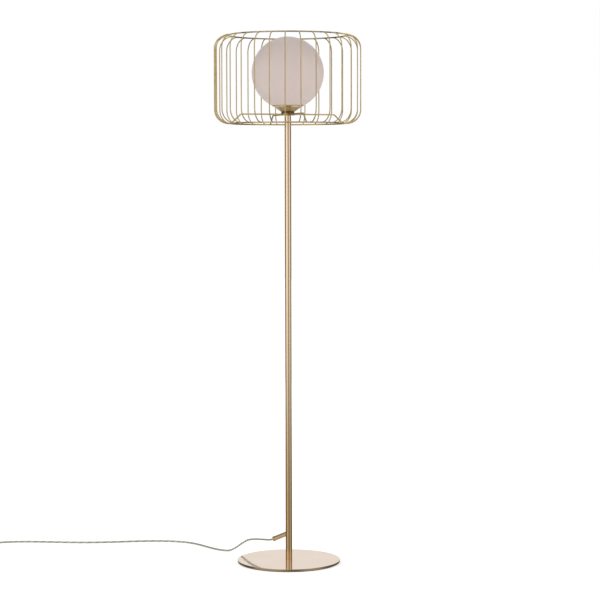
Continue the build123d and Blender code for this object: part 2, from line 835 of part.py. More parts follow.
def plug_body():
    """A flat two pin plug lying on the floor, its flex at +Y and its pins at -Y."""
    x, y = plug_entry()
    half = PLUG_W / 2
    neck = PLUG_NECK_W / 2
    shape = Polyline(
        (-neck, 0),
        (neck, 0),
        (half, -PLUG_SHOULDER),
        (half, -PLUG_LEN),
        (-half, -PLUG_LEN),
        (-half, -PLUG_SHOULDER),
        close=True,
    )
    body = extrude(make_face(shape), PLUG_T)
    body = fillet(body.edges().filter_by(Axis.Z), PLUG_EDGE)
    body = fillet(body.faces().sort_by(Axis.Z)[-1].edges(), PLUG_EDGE)
    hole = pin_bar(PIN_D / 2 + PIN_CLEAR, PIN_IN + 1, PIN_IN)
    body -= [Pos(s * PIN_APART / 2, 0, 0) * hole for s in (-1, 1)]
    return Pos(x, y, 0) * body


def pin_bar(radius, length, depth):
    """A bar along -Y that starts depth inside the plug's face."""
    bar = Cylinder(radius, length, align=(Align.CENTER, Align.CENTER, Align.MIN))
    return Pos(0, -PLUG_LEN + depth, PLUG_Z) * Rot(90, 0, 0) * bar


def plug_pins():
    x, y = plug_entry()
    pin = pin_bar(PIN_D / 2, PIN_IN + PIN_OUT, PIN_IN)
    tip = pin.faces().sort_by(Axis.Y)[0].edges()
    pin = fillet(tip, 1.0)
    return [Pos(x + s * PIN_APART / 2, y, 0) * pin for s in (-1, 1)]


save("base_pad", base_pad())
save("base_plate", base_plate())
save("base_screw", base_screw())
save("pole_foot", pole_foot())
save("pole", pole())
save("cable_sleeve", cable_sleeve())
save("sleeve_bush", sleeve_bush())
save("top_insert", top_insert())
save("nipple", nipple())
save("cage_hub", cage_hub())
save("cage_arms", *cage_arms())
save("cage_low_ring", cage_ring(LOW_RING_Z))
save("cage_top_ring", cage_ring(TOP_RING_Z))
save("cage_ribs", *cage_ribs())
save("cup_spacer", cup_spacer())
save("holder_cup", holder_cup())
save("globe_clips", globe_clips())
save("globe", globe())
save("lampholder_cap", lampholder_cap())
save("lampholder_shell", lampholder_shell())
save("lampholder_insert", lampholder_insert())
save("thread_shell", thread_shell())
save("centre_contact", centre_contact())
save("bulb_cap", bulb_cap())
save("bulb_glaze", bulb_glaze())
save("bulb_tip", bulb_tip())
save("bulb_glass", bulb_glass())
save("inner_cable", inner_cable())
save("cord_run", cord_run())
save("cord_lead", cord_lead())
save("cord_coil", cord_coil())
save("cord_tail", cord_tail())
save("switch_base", switch_base())
save("switch_cover", switch_cover())
save("switch_button", switch_button())
save("switch_spring", switch_spring())
save("switch_contacts", *switch_contacts())
save("switch_screws", *switch_screws())
save("plug_body", plug_body())
save("plug_pins", *plug_pins())
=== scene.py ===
import math

import bmesh
import bpy
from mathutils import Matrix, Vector


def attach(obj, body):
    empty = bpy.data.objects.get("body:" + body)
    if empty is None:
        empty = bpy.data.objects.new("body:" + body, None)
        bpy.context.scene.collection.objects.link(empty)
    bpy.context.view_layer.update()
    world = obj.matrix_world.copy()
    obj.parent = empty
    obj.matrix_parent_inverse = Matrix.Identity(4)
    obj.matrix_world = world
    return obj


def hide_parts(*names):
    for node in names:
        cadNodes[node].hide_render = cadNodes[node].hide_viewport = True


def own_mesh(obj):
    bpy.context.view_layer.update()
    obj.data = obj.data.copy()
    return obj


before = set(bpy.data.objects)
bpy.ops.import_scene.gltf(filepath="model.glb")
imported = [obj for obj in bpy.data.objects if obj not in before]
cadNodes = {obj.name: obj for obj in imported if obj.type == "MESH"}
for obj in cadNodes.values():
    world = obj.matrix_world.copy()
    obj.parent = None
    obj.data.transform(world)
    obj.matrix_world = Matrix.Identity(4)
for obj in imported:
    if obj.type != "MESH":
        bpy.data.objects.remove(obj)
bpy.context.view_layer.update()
print("frame loaded,", len(cadNodes), "nodes")


def linkNew(name, data):
    made = bpy.data.objects.new(name, data)
    bpy.context.scene.collection.objects.link(made)
    return made


def aimObject(made, turn, at):
    made.rotation_mode = "QUATERNION"
    made.rotation_quaternion = turn
    made.location = at


# ---- camera

cameraSettings = {
    "distance": 5.44941,
    "height": 1.10680,
    "pitch": 0.06739,  # looking down, radians
    "turn": 0.00600,  # towards +X
    "roll": -0.00210,
    "focalPixels": 1957.19,
    "framePixels": 600.0,
    "sensorWide": 36.0,
    "seesTo": 100.0,
}


def axisTurn(axis, angle):
    spin = Vector((0, 0, 1)).rotation_difference(Vector((0, 0, 1)))
    spin.w = math.cos(angle / 2)
    spin.x, spin.y, spin.z = axis * math.sin(angle / 2)
    return spin


def placeCamera():
    s = cameraSettings
    view = bpy.data.cameras.new("lampCamera")
    view.sensor_width = s["sensorWide"]
    view.lens = s["focalPixels"] * s["sensorWide"] / s["framePixels"]
    view.clip_end = s["seesTo"]
    pan = Vector((0, 0, 1))
    turn = pan.rotation_difference(pan)
    turn.rotate(axisTurn(pan, s["roll"]))
    turn.rotate(axisTurn(Vector((1, 0, 0)), math.pi / 2 - s["pitch"]))
    turn.rotate(axisTurn(pan, -s["turn"]))
    bpy.context.scene.camera = linkNew("lampCamera", view)
    aimObject(bpy.context.scene.camera, turn, (0, -s["distance"], s["height"]))


placeCamera()
print("camera placed")


# ---- small helpers for working in edit mode

mergeWithin = 0.000002
spotWithin = 0.00001
edgeWithin = 0.0001
facing, flatOn = 0.9, 0.97  # how squarely a picked face looks along an axis
seedSize = 0.001
cornerSteps = 5


def dropPicks():
    if bpy.context.object and bpy.context.object.mode != "OBJECT":
        bpy.ops.object.mode_set(mode="OBJECT")
    bpy.ops.object.select_all(action="DESELECT")


def holdOnly(piece):
    dropPicks()
    piece.select_set(True)
    bpy.context.view_layer.objects.active = piece


def fixPlace():
    bpy.ops.object.transform_apply(location=True, rotation=True, scale=True)


def nameNew(name):
    piece = bpy.context.object
    piece.name = name
    piece.data.name = name
    fixPlace()
    return piece


def startWith(primitive, name, **settings):
    dropPicks()
    primitive(**settings)
    return nameNew(name)


def placePiece(piece, turn=(0, 0, 0), at=(0, 0, 0)):
    holdOnly(piece)
    piece.rotation_euler = turn
    piece.location = at
    fixPlace()


def startEdit(piece):
    holdOnly(piece)
    bpy.ops.object.mode_set(mode="EDIT")
    bpy.ops.mesh.select_mode(type="VERT")
    pickAll()


def pickAll():
    bpy.ops.mesh.select_all(action="SELECT")


def endEdit():
    bpy.ops.object.mode_set(mode="OBJECT")


def mergeAll():
    pickAll()
    bpy.ops.mesh.remove_doubles(threshold=mergeWithin)


# Merges what coincides, turns all faces outwards and leaves edit mode.
def closeEdit():
    mergeAll()
    bpy.ops.mesh.normals_make_consistent(inside=False)
    endEdit()


# Picks the corners, edges or faces of a piece that pass a test.
def pickOf(piece, kind, test):
    bpy.ops.mesh.select_mode(type=kind)
    bpy.ops.mesh.select_all(action="DESELECT")
    body = bmesh.from_edit_mesh(piece.data)
    for part in {"VERT": body.verts, "EDGE": body.edges, "FACE": body.faces}[kind]:
        if test(part):
            part.select_set(True)
    body.select_flush_mode()
    bmesh.update_edit_mesh(piece.data)


def pickVerts(piece, test):
    pickOf(piece, "VERT", lambda vert: test(vert.co))


def pickEdges(piece, test):
    pickOf(piece, "EDGE", lambda edge: test(edge.verts[0].co, edge.verts[1].co))


def pickFaces(piece, test):
    pickOf(piece, "FACE", lambda face: test(face.calc_center_median(), face.normal))


def push(x, y, z):
    bpy.ops.mesh.extrude_region_move(TRANSFORM_OT_translate={"value": (x, y, z)})


def scaleAbout(centre, factor):
    if isinstance(factor, (int, float)):
        factor = (factor, factor, factor)
    bpy.ops.transform.resize(value=factor, center_override=centre)


def finishWith(piece, kind, **settings):
    holdOnly(piece)
    step = piece.modifiers.new(kind, kind)
    for key, value in settings.items():
        setattr(step, key, value)
    bpy.ops.object.modifier_apply(modifier=step.name)


def bevelEdges(piece, width, segments, degrees):
    limit = math.radians(degrees)
    finishWith(piece, "BEVEL", width=width, segments=segments, limit_method="ANGLE", angle_limit=limit)


def smooth(piece, degrees=35):
    holdOnly(piece)
    bpy.ops.object.shade_smooth_by_angle(angle=math.radians(degrees))
    finishWith(piece, "WEIGHTED_NORMAL", keep_sharp=True)
    piece.select_set(False)


# Points of radius and height, joined one to the next beside an upright axis.
def drawPath(name, points, centre=(0.0, 0.0)):
    x0, y0 = centre
    first = (x0 + points[0][0], y0, points[0][1])
    piece = startWith(bpy.ops.mesh.primitive_plane_add, name, size=seedSize, location=first)
    startEdit(piece)
    bpy.ops.mesh.merge(type="CENTER")
    for here, there in zip(points, points[1:]):
        push(there[0] - here[0], 0, there[1] - here[1])
    return piece


def roundCorners(piece, points, rounded, centre=(0.0, 0.0)):
    x0, y0 = centre
    for size, corners in rounded:
        spots = [Vector((x0 + points[k][0], y0, points[k][1])) for k in corners]
        pickVerts(piece, lambda co: any((co - spot).length < spotWithin for spot in spots))
        bpy.ops.mesh.bevel(offset=size, segments=cornerSteps, affect="VERTICES")


def spinRound(steps, centre=(0.0, 0.0)):
    pickAll()
    bpy.ops.mesh.spin(steps=steps, angle=math.tau, center=(*centre, 0), axis=(0, 0, 1))
    closeEdit()


# A closed outline of radius and height, drawn point by point, with some corners rounded, then spun.
def spinOutline(name, outline, steps=96, rounded=(), centre=(0.0, 0.0)):
    piece = drawPath(name, outline + outline[:1], centre)
    mergeAll()
    roundCorners(piece, outline, rounded, centre)
    spinRound(steps, centre)
    smooth(piece)
    return piece


# The section of a wire that starts along X, filled or left open.
def startWire(name, sides, radius, at, fill="NGON"):
    return startWith(
        bpy.ops.mesh.primitive_circle_add, name, vertices=sides, radius=radius, fill_type=fill,
        location=at, rotation=(0, math.pi / 2, 0),
    )


def settle(piece, slotName, paint, *nodes, body="stand"):
    piece.data.materials.clear()
    piece.data.materials.append(paint)
    if nodes:
        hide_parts(*nodes)
    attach(piece, body)
    return piece


# Turned copies of a piece stand evenly round the pole, then the piece itself is turned to its place.
def copyRound(first, label, count, start, node):
    pieces = [first]
    for k in range(1, count):
        holdOnly(first)
        bpy.ops.object.duplicate()
        bpy.context.object.rotation_euler = (0, 0, math.radians(start + 360 / count * k))
        pieces.append(nameNew(label.format(k + 1)))
    placePiece(first, (0, 0, math.radians(start)))
    for piece in pieces:
        settle(piece, "brass_plated", wireBrass, node)


# ---- finishes

mixA, mixB, mixed = 6, 7, 2  # colour sockets of a mix node, in and out


def addNode(tree, kind, sockets=None, **settings):
    made = tree.nodes.new("ShaderNode" + kind)
    for key, value in settings.items():
        setattr(made, key, value)
    for key, value in (sockets or {}).items():
        made.inputs[key].default_value = value
    return made


def addMath(tree, operation, sockets=None):
    return addNode(tree, "Math", sockets, operation=operation)


def wire(source, output, target, socket):
    source.id_data.links.new(source.outputs[output], target.inputs[socket])


def newFinish(name, **sockets):
    finish = bpy.data.materials.new(name)
    finish.use_nodes = True
    tree = finish.node_tree
    shader = tree.nodes["Principled BSDF"]
    for key, value in sockets.items():
        shader.inputs[key.replace("_", " ")].default_value = value
    place = addNode(tree, "TexCoord")
    return finish, tree, shader, place


def newGroup(name, inputs, outputs):
    group = bpy.data.node_groups.new(name, "ShaderNodeTree")
    for way, sockets in (("INPUT", inputs), ("OUTPUT", outputs)):
        for label, kind in sockets.items():
            group.interface.new_socket(label, in_out=way, socket_type="NodeSocket" + kind)
    return group, group.nodes.new("NodeGroupInput"), group.nodes.new("NodeGroupOutput")


def useGroup(tree, group, sockets=None):
    return addNode(tree, "Group", sockets, node_tree=group)


# Two shades that drift into each other in soft clouds.
def makeDriftGroup():
    inputs = {"Vector": "Vector", "Light": "Color", "Deep": "Color", "Scale": "Float"}
    group, start, end = newGroup("shadeDrift", inputs, {"Color": "Color"})
    cloud = addNode(group, "TexNoise", {"Detail": 3.0, "Roughness": 0.5})
    spread = addNode(group, "MapRange", {"From Min": 0.3, "From Max": 0.7})
    blend = addNode(group, "Mix", data_type="RGBA")
    wire(start, "Vector", cloud, "Vector")
    wire(start, "Scale", cloud, "Scale")
    wire(cloud, "Fac", spread, "Value")
    wire(spread, "Result", blend, 0)
    wire(start, "Light", blend, mixA)
    wire(start, "Deep", blend, mixB)
    wire(blend, mixed, end, "Color")
    return group


# Fine marks that run one way, as polishing or drawing leaves them: a mask and a shallow bump.
def makeLinesGroup():
    inputs = {"Vector": "Vector", "Depth": "Float"}
    group, start, end = newGroup("fineLines", inputs, {"Mask": "Float", "Normal": "Vector"})
    coarse = addNode(group, "TexNoise", {"Scale": 1.0, "Detail": 2.0, "Roughness": 0.6})
    fine = addNode(group, "TexNoise", {"Scale": 3.7, "Detail": 1.0, "Roughness": 0.5})
    total = addMath(group, "ADD")
    half = addMath(group, "MULTIPLY", {1: 0.5})
    bump = addNode(group, "Bump", {"Distance": 0.00005})
    wire(start, "Vector", coarse, "Vector")
    wire(start, "Vector", fine, "Vector")
    wire(coarse, "Fac", total, 0)
    wire(fine, "Fac", total, 1)
    wire(total, "Value", half, 0)
    wire(half, "Value", bump, "Height")
    wire(start, "Depth", bump, "Strength")
    wire(half, "Value", end, "Mask")
    wire(bump, "Normal", end, "Normal")
    return group


# Faint smears from handling, for the roughness of a polished face.
def makeSmearGroup():
    inputs = {"Vector": "Vector", "Scale": "Float", "Clean": "Float", "Smeared": "Float"}
    group, start, end = newGroup("handSmears", inputs, {"Roughness": "Float"})
    cloud = addNode(group, "TexNoise", {"Detail": 4.0, "Roughness": 0.62, "Distortion": 0.7})
    spread = addNode(group, "MapRange", {"From Min": 0.45, "From Max": 0.75})
    wire(start, "Vector", cloud, "Vector")
    wire(start, "Scale", cloud, "Scale")
    wire(cloud, "Fac", spread, "Value")
    wire(start, "Clean", spread, "To Min")
    wire(start, "Smeared", spread, "To Max")
    wire(spread, "Result", end, "Roughness")
    return group


driftGroup = makeDriftGroup()
linesGroup = makeLinesGroup()
smearGroup = makeSmearGroup()


# A base colour that drifts between two shades.
def addDrift(tree, place, shader, light, deep, scale):
    drift = useGroup(tree, driftGroup, {"Light": (*light, 1), "Deep": (*deep, 1), "Scale": scale})
    wire(place, "Object", drift, "Vector")
    wire(drift, "Color", shader, "Base Color")


# Polishing lines, stretched one way, that the roughness and the bump follow.
def addLines(tree, place, shader, scale, depth, roughLow, roughHigh):
    stretch = addNode(tree, "Mapping", {"Scale": scale})
    lines = useGroup(tree, linesGroup, {"Depth": depth})
    rough = addNode(tree, "MapRange", {"To Min": roughLow, "To Max": roughHigh})
    wire(place, "Object", stretch, "Vector")
    wire(stretch, "Vector", lines, "Vector")
    wire(lines, "Mask", rough, "Value")
    wire(rough, "Result", shader, "Roughness")
    wire(lines, "Normal", shader, "Normal")


# A fine grain that the bump follows.
def addGrain(tree, place, shader, scale, detail, depth):
    grain = addNode(tree, "TexNoise", {"Scale": scale, "Detail": detail})
    bump = addNode(tree, "Bump", {"Strength": depth, "Distance": 0.0001})
    wire(place, "Object", grain, "Vector")
    wire(grain, "Fac", bump, "Height")
    wire(bump, "Normal", shader, "Normal")
    return grain


poleFinish = {
    "top": (0.75, 0.573, 0.388, 1),
    # the foot shade is painted reflection: darker and more golden than the top
    "foot": (0.595, 0.39, 0.18, 1),
    "deep": (0.64, 0.445, 0.248, 1),
    "cloudScale": 5.0,
    "cloudShare": 0.25,
    "paintedShadeFrom": 0.52,
    "paintedShadeTo": 0.08,
    "lineScale": (900.0, 900.0, 6.0),
    "lineDepth": 0.12,
    "rough": (0.17, 0.27),
}


# Satin brass plating on the pole: lengthways polishing lines, and painted reflection that darkens the tone
# and turns it more golden towards the foot.
def makePoleBrass():
    s = poleFinish
    finish, tree, shader, place = newFinish(
        "poleBrass", Metallic=1.0, Coat_Weight=0.25, Coat_Roughness=0.12
    )
    addLines(tree, place, shader, s["lineScale"], s["lineDepth"], *s["rough"])
    split = addNode(tree, "SeparateXYZ")
    # painted reflection: the colour blends by height from the top shade down to the darker foot shade
    climb = addNode(
        tree, "MapRange", {"From Min": s["paintedShadeTo"], "From Max": s["paintedShadeFrom"]},
        interpolation_type="SMOOTHSTEP",
    )
    tone = addNode(tree, "Mix", {mixA: s["foot"], mixB: s["top"]}, data_type="RGBA")
    drift = useGroup(tree, driftGroup, {"Deep": s["deep"], "Scale": s["cloudScale"]})
    lessen = addNode(tree, "Mix", {0: s["cloudShare"]}, data_type="RGBA")
    wire(place, "Object", split, "Vector")
    wire(split, "Z", climb, "Value")
    wire(climb, "Result", tone, 0)
    wire(place, "Object", drift, "Vector")
    wire(tone, mixed, drift, "Light")
    wire(tone, mixed, lessen, mixA)
    wire(drift, "Color", lessen, mixB)
    wire(lessen, mixed, shader, "Base Color")
    return finish


# Brass plating on the wires and on the turned pieces at the head.
def makeBrass(name, light, deep, roughLow, roughHigh, cloudScale, lineScale, lineDepth):
    finish, tree, shader, place = newFinish(name, Metallic=1.0, Coat_Weight=0.15, Coat_Roughness=0.2)
    addDrift(tree, place, shader, light, deep, cloudScale)
    addLines(tree, place, shader, lineScale, lineDepth, roughLow, roughHigh)
    return finish


mirrorFinish = {
    "top": (0.735, 0.57, 0.425, 1),
    "deep": (0.695, 0.535, 0.39, 1),
    # the edge colour is painted shade on the base's side wall
    "edge": (0.38, 0.29, 0.18, 1),
    "shadedRimFrom": 0.1434,
    "shadedRimTo": 0.1440,
    "ringsEach": 2600.0,  # noise cells in each metre of radius
}


# The base: a bright face with rings from the polishing wheel, and painted shade that darkens its rounded
# side wall.
def makeMirror():
    s = mirrorFinish
    finish, tree, shader, place = newFinish("baseMirror", Metallic=0.8)
    flat = addNode(tree, "VectorMath", {1: (1.0, 1.0, 0.0)}, operation="MULTIPLY")
    reach = addNode(tree, "VectorMath", operation="LENGTH")
    rings = addNode(tree, "CombineXYZ")
    many = addMath(tree, "MULTIPLY", {1: s["ringsEach"]})
    lines = useGroup(tree, linesGroup, {"Depth": 0.02})
    smear = useGroup(tree, smearGroup, {"Scale": 22.0, "Clean": 0.06, "Smeared": 0.13})
    drift = useGroup(tree, driftGroup, {"Light": s["top"], "Deep": s["deep"], "Scale": 9.0})
    rim = addNode(tree, "MapRange", {"From Min": s["shadedRimFrom"], "From Max": s["shadedRimTo"]})
    paintedRimShade = addNode(tree, "Mix", {mixB: s["edge"]}, data_type="RGBA")
    wire(place, "Object", flat, 0)
    wire(flat, "Vector", reach, 0)
    wire(reach, "Value", many, 0)
    wire(many, "Value", rings, "X")
    wire(rings, "Vector", lines, "Vector")
    wire(place, "Object", smear, "Vector")
    wire(place, "Object", drift, "Vector")
    wire(reach, "Value", rim, "Value")
    wire(rim, "Result", paintedRimShade, 0)
    wire(drift, "Color", paintedRimShade, mixA)
    wire(paintedRimShade, mixed, shader, "Base Color")
    wire(smear, "Roughness", shader, "Roughness")
    wire(lines, "Normal", shader, "Normal")
    return finish


opalFinish = {
    "light": (0.636, 0.537, 0.502),
    "deep": (0.600, 0.500, 0.463),
    "cloudScale": 9.0,
    "grainScale": 1400.0,
    "grainDetail": 2.0,
    "grainDepth": 0.08,
}


# Satin opal glass, cloudy within.
def makeOpal():
    s = opalFinish
    finish, tree, shader, place = newFinish(
        "opalGlass",
        IOR=1.5,
        Subsurface_Weight=0.25,
        Subsurface_Radius=(0.02, 0.017, 0.015),
        Subsurface_Scale=0.4,
        Specular_IOR_Level=0.35,
    )
    addDrift(tree, place, shader, s["light"], s["deep"], s["cloudScale"])
    smear = useGroup(tree, smearGroup, {"Scale": 30.0, "Clean": 0.42, "Smeared": 0.5})
    wire(place, "Object", smear, "Vector")
    wire(smear, "Roughness", shader, "Roughness")
    addGrain(tree, place, shader, s["grainScale"], s["grainDetail"], s["grainDepth"])
    return finish


flexFinish = {
    "strand": (0.195, 0.185, 0.138, 1),
    "gap": (0.42, 0.425, 0.368, 1),
    "turnsEach": 70.0,  # twists of the pair in each metre
    "strands": 2.0,
}


# Clear flex: the twisted pair shows through the jacket as a slow helix.
def makeFlex(name, length):
    s = flexFinish
    finish, tree, shader, place = newFinish(
        name, Roughness=0.16, IOR=1.5, Coat_Weight=0.6, Coat_Roughness=0.05
    )
    split = addNode(tree, "SeparateXYZ")
    along = addMath(tree, "MULTIPLY", {1: s["turnsEach"] * length})
    around = addMath(tree, "MULTIPLY", {1: s["strands"]})
    total = addMath(tree, "ADD")
    whole = addMath(tree, "MULTIPLY", {1: math.tau})
    swing = addMath(tree, "SINE")
    spread = addNode(
        tree, "MapRange", {"From Min": -0.6, "From Max": 0.6}, interpolation_type="SMOOTHSTEP"
    )
    blend = addNode(tree, "Mix", {mixA: s["strand"], mixB: s["gap"]}, data_type="RGBA")
    wire(place, "UV", split, "Vector")
    wire(split, "X", along, 0)
    wire(split, "Y", around, 0)
    wire(along, "Value", total, 0)
    wire(around, "Value", total, 1)
    wire(total, "Value", whole, 0)
    wire(whole, "Value", swing, 0)
    wire(swing, "Value", spread, "Value")
    wire(spread, "Result", blend, 0)
    wire(blend, mixed, shader, "Base Color")
    return finish


# Moulded plastic, rubber, ceramic and the like: a cloudy tone and a fine grain.
def makePlain(name, light, deep, cloudScale, grainScale, grainDepth, roughLow, roughHigh, **sockets):
    finish, tree, shader, place = newFinish(name, **sockets)
    addDrift(tree, place, shader, light, deep, cloudScale)
    grain = addGrain(tree, place, shader, grainScale, 3.0, grainDepth)
    rough = addNode(tree, "MapRange", {"To Min": roughLow, "To Max": roughHigh})
    wire(grain, "Fac", rough, "Value")
    wire(rough, "Result", shader, "Roughness")
    return finish


brassFinishes = {
    # light, deep, roughness from and to, cloud scale, line scale, line depth
    "wireBrass": ((0.655, 0.51, 0.245), (0.52, 0.39, 0.165), 0.26, 0.38, 16.0, (260.0, 260.0, 40.0), 0.15),
    # painted shade: the top ring is the same plating as the wires, made darker and greyer
    "ringBrassPaintedShade": ((0.41, 0.352, 0.23), (0.30, 0.253, 0.152), 0.26, 0.38, 16.0, (60.0, 60.0, 400.0), 0.15),
    "cupBrass": ((0.73, 0.583, 0.35), (0.625, 0.483, 0.247), 0.24, 0.36, 24.0, (90.0, 90.0, 1800.0), 0.12),
    # painted shade: the hub is the same plating, darkened for the shade under the cup
    "hubBrassPaintedShade": ((0.42, 0.29, 0.10), (0.29, 0.20, 0.056), 0.26, 0.38, 60.0, (90.0, 90.0, 1800.0), 0.12),
    "sleeveBrass": ((0.75, 0.605, 0.39), (0.65, 0.50, 0.29), 0.36, 0.48, 40.0, (300.0, 300.0, 300.0), 0.1),
}
plainFinishes = {
    # light, deep, cloud scale, grain scale, grain depth, roughness from and to
    "zincSteel": ((0.62, 0.62, 0.60), (0.48, 0.48, 0.47), 160.0, 900.0, 0.2, 0.28, 0.45),
    "padFoam": ((0.035, 0.035, 0.035), (0.02, 0.02, 0.02), 60.0, 1600.0, 0.9, 0.85, 0.97),
    "clearBush": ((0.60, 0.62, 0.55), (0.50, 0.52, 0.45), 200.0, 700.0, 0.1, 0.12, 0.22),
    "holderPlastic": ((0.030, 0.030, 0.031), (0.018, 0.018, 0.019), 90.0, 1200.0, 0.3, 0.36, 0.5),
    # painted shadow: the spacer is made dark to stand for the shadow gap between cup and hub
    "spacerPaintedShadow": ((0.062, 0.039, 0.012), (0.042, 0.026, 0.008), 90.0, 1200.0, 0.3, 0.4, 0.55),
    "whiteCeramic": ((0.80, 0.79, 0.75), (0.72, 0.70, 0.66), 120.0, 500.0, 0.12, 0.1, 0.2),
    "bareBrass": ((0.82, 0.62, 0.30), (0.66, 0.46, 0.20), 150.0, 900.0, 0.15, 0.2, 0.34),
    "bulbMetal": ((0.78, 0.78, 0.78), (0.66, 0.66, 0.67), 140.0, 800.0, 0.15, 0.22, 0.36),
    "blackGlaze": ((0.012, 0.012, 0.014), (0.006, 0.006, 0.007), 90.0, 400.0, 0.05, 0.06, 0.14),
    "bulbWhite": ((0.86, 0.84, 0.79), (0.80, 0.78, 0.73), 40.0, 1500.0, 0.1, 0.3, 0.4),
    "switchPlastic": ((0.50, 0.50, 0.465), (0.45, 0.45, 0.415), 70.0, 1500.0, 0.12, 0.2, 0.32),
}
plainSockets = {
    "zincSteel": {"Metallic": 1.0},
    "clearBush": {"Coat_Weight": 0.4},
    "whiteCeramic": {"Coat_Weight": 0.5},
    "bareBrass": {"Metallic": 1.0},
    "bulbMetal": {"Metallic": 1.0},
    "blackGlaze": {"Coat_Weight": 0.8},
    "bulbWhite": {"Subsurface_Weight": 0.2},
    "switchPlastic": {"Coat_Weight": 0.2},
}

poleBrass = makePoleBrass()
wireBrass, ringBrassPaintedShade, cupBrass, hubBrassPaintedShade, sleeveBrass = [
    makeBrass(name, *values) for name, values in brassFinishes.items()
]
baseMirror = makeMirror()
opalGlass = makeOpal()
plain = {
    name: makePlain(name, *values, **plainSockets.get(name, {})) for name, values in plainFinishes.items()
}
print("finishes made")


# ---- flex: two free lengths, each on one smooth spline

runSettings = {
    "diameter": 0.005,
    "points": [
        (-0.04289, 0.03599, 0.05877), (-0.05167, 0.04336, 0.05381), (-0.0756, 0.0700, 0.0512),
        (-0.1016, 0.1000, 0.0463), (-0.1192, 0.1220, 0.0397), (-0.1368, 0.1350, 0.0263),
        (-0.1544, 0.1450, 0.0118), (-0.1720, 0.1505, 0.0025), (-0.1980, 0.1625, 0.0025),
        (-0.2240, 0.1915, 0.0025), (-0.2435, 0.2190, 0.0025), (-0.2630, 0.2460, 0.0025),
        (-0.2900, 0.2750, 0.0025), (-0.3330, 0.2970, 0.0025), (-0.3920, 0.3060, 0.0025),
        (-0.4580, 0.3010, 0.0025), (-0.5260, 0.2890, 0.0025), (-0.5950, 0.2830, 0.0025),
        (-0.6640, 0.2880, 0.0025), (-0.7310, 0.2980, 0.0025), (-0.7930, 0.3010, 0.0025),
        (-0.8400, 0.2950, 0.0025), (-0.8750, 0.2790, 0.0025), (-0.8970, 0.2600, 0.0046),
        (-0.9050, 0.2460, 0.0070), (-0.9050, 0.2260, 0.0070),
    ],
}

leadSettings = {
    "start": [
        (-0.9050, 0.1440, 0.0070), (-0.9050, 0.1240, 0.0070), (-0.9065, 0.0980, 0.0025),
        (-0.9050, 0.0740, 0.0025), (-0.9050, 0.0540, 0.0025),
    ],
    "coilAt": (-0.9362, 0.0490),
    "firstAt": -0.0312,
    "turnRadii": [0.0312, 0.0284, 0.0256, 0.0228, 0.02, 0.0228, 0.0256, 0.0284, 0.0312, 0.034],  # half turns
    "climbAt": 4,
    "layers": (0.0025, 0.0081),
    "pointsEach": 7,
    "end": [
        (-0.8994, 0.0440, 0.0081), (-0.8994, 0.0240, 0.0081), (-0.9024, -0.0030, 0.007475),
        (-0.9074, -0.0290, 0.00685), (-0.9074, -0.0500, 0.00685),
    ],
}


# The turns spiral in on the floor, climb one layer and spiral out again.
def coilPoints():
    x0, y0 = leadSettings["coilAt"]
    low, high = leadSettings["layers"]
    each = leadSettings["pointsEach"]
    wide = 1 / math.cos(math.pi / 2 / each)
    points = []
    at = leadSettings["firstAt"]
    side = 1
    height = low
    for step, radius in enumerate(leadSettings["turnRadii"]):
        middle = at + side * radius
        for k in range(each):
            angle = math.pi * (k + 0.5) / each
            if step == leadSettings["climbAt"]:
                height = (low + high) / 2 - (high - low) / 2 * math.cos(angle)
            elif step > leadSettings["climbAt"]:
                height = high
            across = -side * radius * wide * math.sin(angle)
            off = middle - side * radius * wide * math.cos(angle)
            points.append((x0 - off, y0 + across, height))
        at += side * 2 * radius
        side = -side
    return points


def makeFlexCurve(name, points, thick, paint):
    line = bpy.data.curves.new(name, "CURVE")
    line.dimensions = "3D"
    spline = line.splines.new("NURBS")
    spline.points.add(len(points) - 1)
    for spot, at in zip(spline.points, points):
        spot.co = (*at, 1.0)
    spline.order_u = 3
    spline.use_endpoint_u = True
    spline.resolution_u = 8
    line.bevel_depth = thick / 2
    line.bevel_resolution = 4
    line.use_fill_caps = True
    line.materials.append(paint)
    return linkNew(name, line)


thick = runSettings["diameter"]
storedPoints = leadSettings["start"] + coilPoints() + leadSettings["end"]
seenFlex = makeFlexCurve("flexRun", runSettings["points"], thick, makeFlex("clearFlexRun", 1.0))
storedFlex = makeFlexCurve("flexStored", storedPoints, thick, makeFlex("clearFlexStored", 1.04))
print("flex laid,", len(storedPoints), "points in the stored length")


# ---- base and pole

baseSettings = {
    "radius": 0.144,
    "low": 0.002,
    "high": 0.008,
    "edge": 0.0008,
    "boreRadius": 0.00415,
    "sunkRadius": 0.00815,
    "sunkDepth": 0.0047,
    "sunkEdge": 0.0002,
    "steps": 256,
}


def makeBase():
    s = baseSettings
    flat = s["radius"] - 2 * s["edge"]
    outline = [
        (s["boreRadius"], s["high"]), (s["radius"] / 2, s["high"]), (flat, s["high"]),
        (s["radius"], s["high"]), (s["radius"], s["low"]), (flat, s["low"]),
        (s["sunkRadius"], s["low"]), (s["boreRadius"], s["low"] + s["sunkDepth"]),
    ]
    rounded = [(s["edge"], (3, 4)), (s["sunkEdge"], (6,))]
    plate = spinOutline("basePlate", outline, s["steps"], rounded)
    settle(plate, "base_mirror", baseMirror, "base_plate")


poleSettings = {
    "radius": 0.009,
    "wall": 0.0012,
    "low": 0.008,
    "rings": (0.04, 0.10, 0.65, 1.22, 1.252),  # the last is the top
    "edge": 0.0003,
}


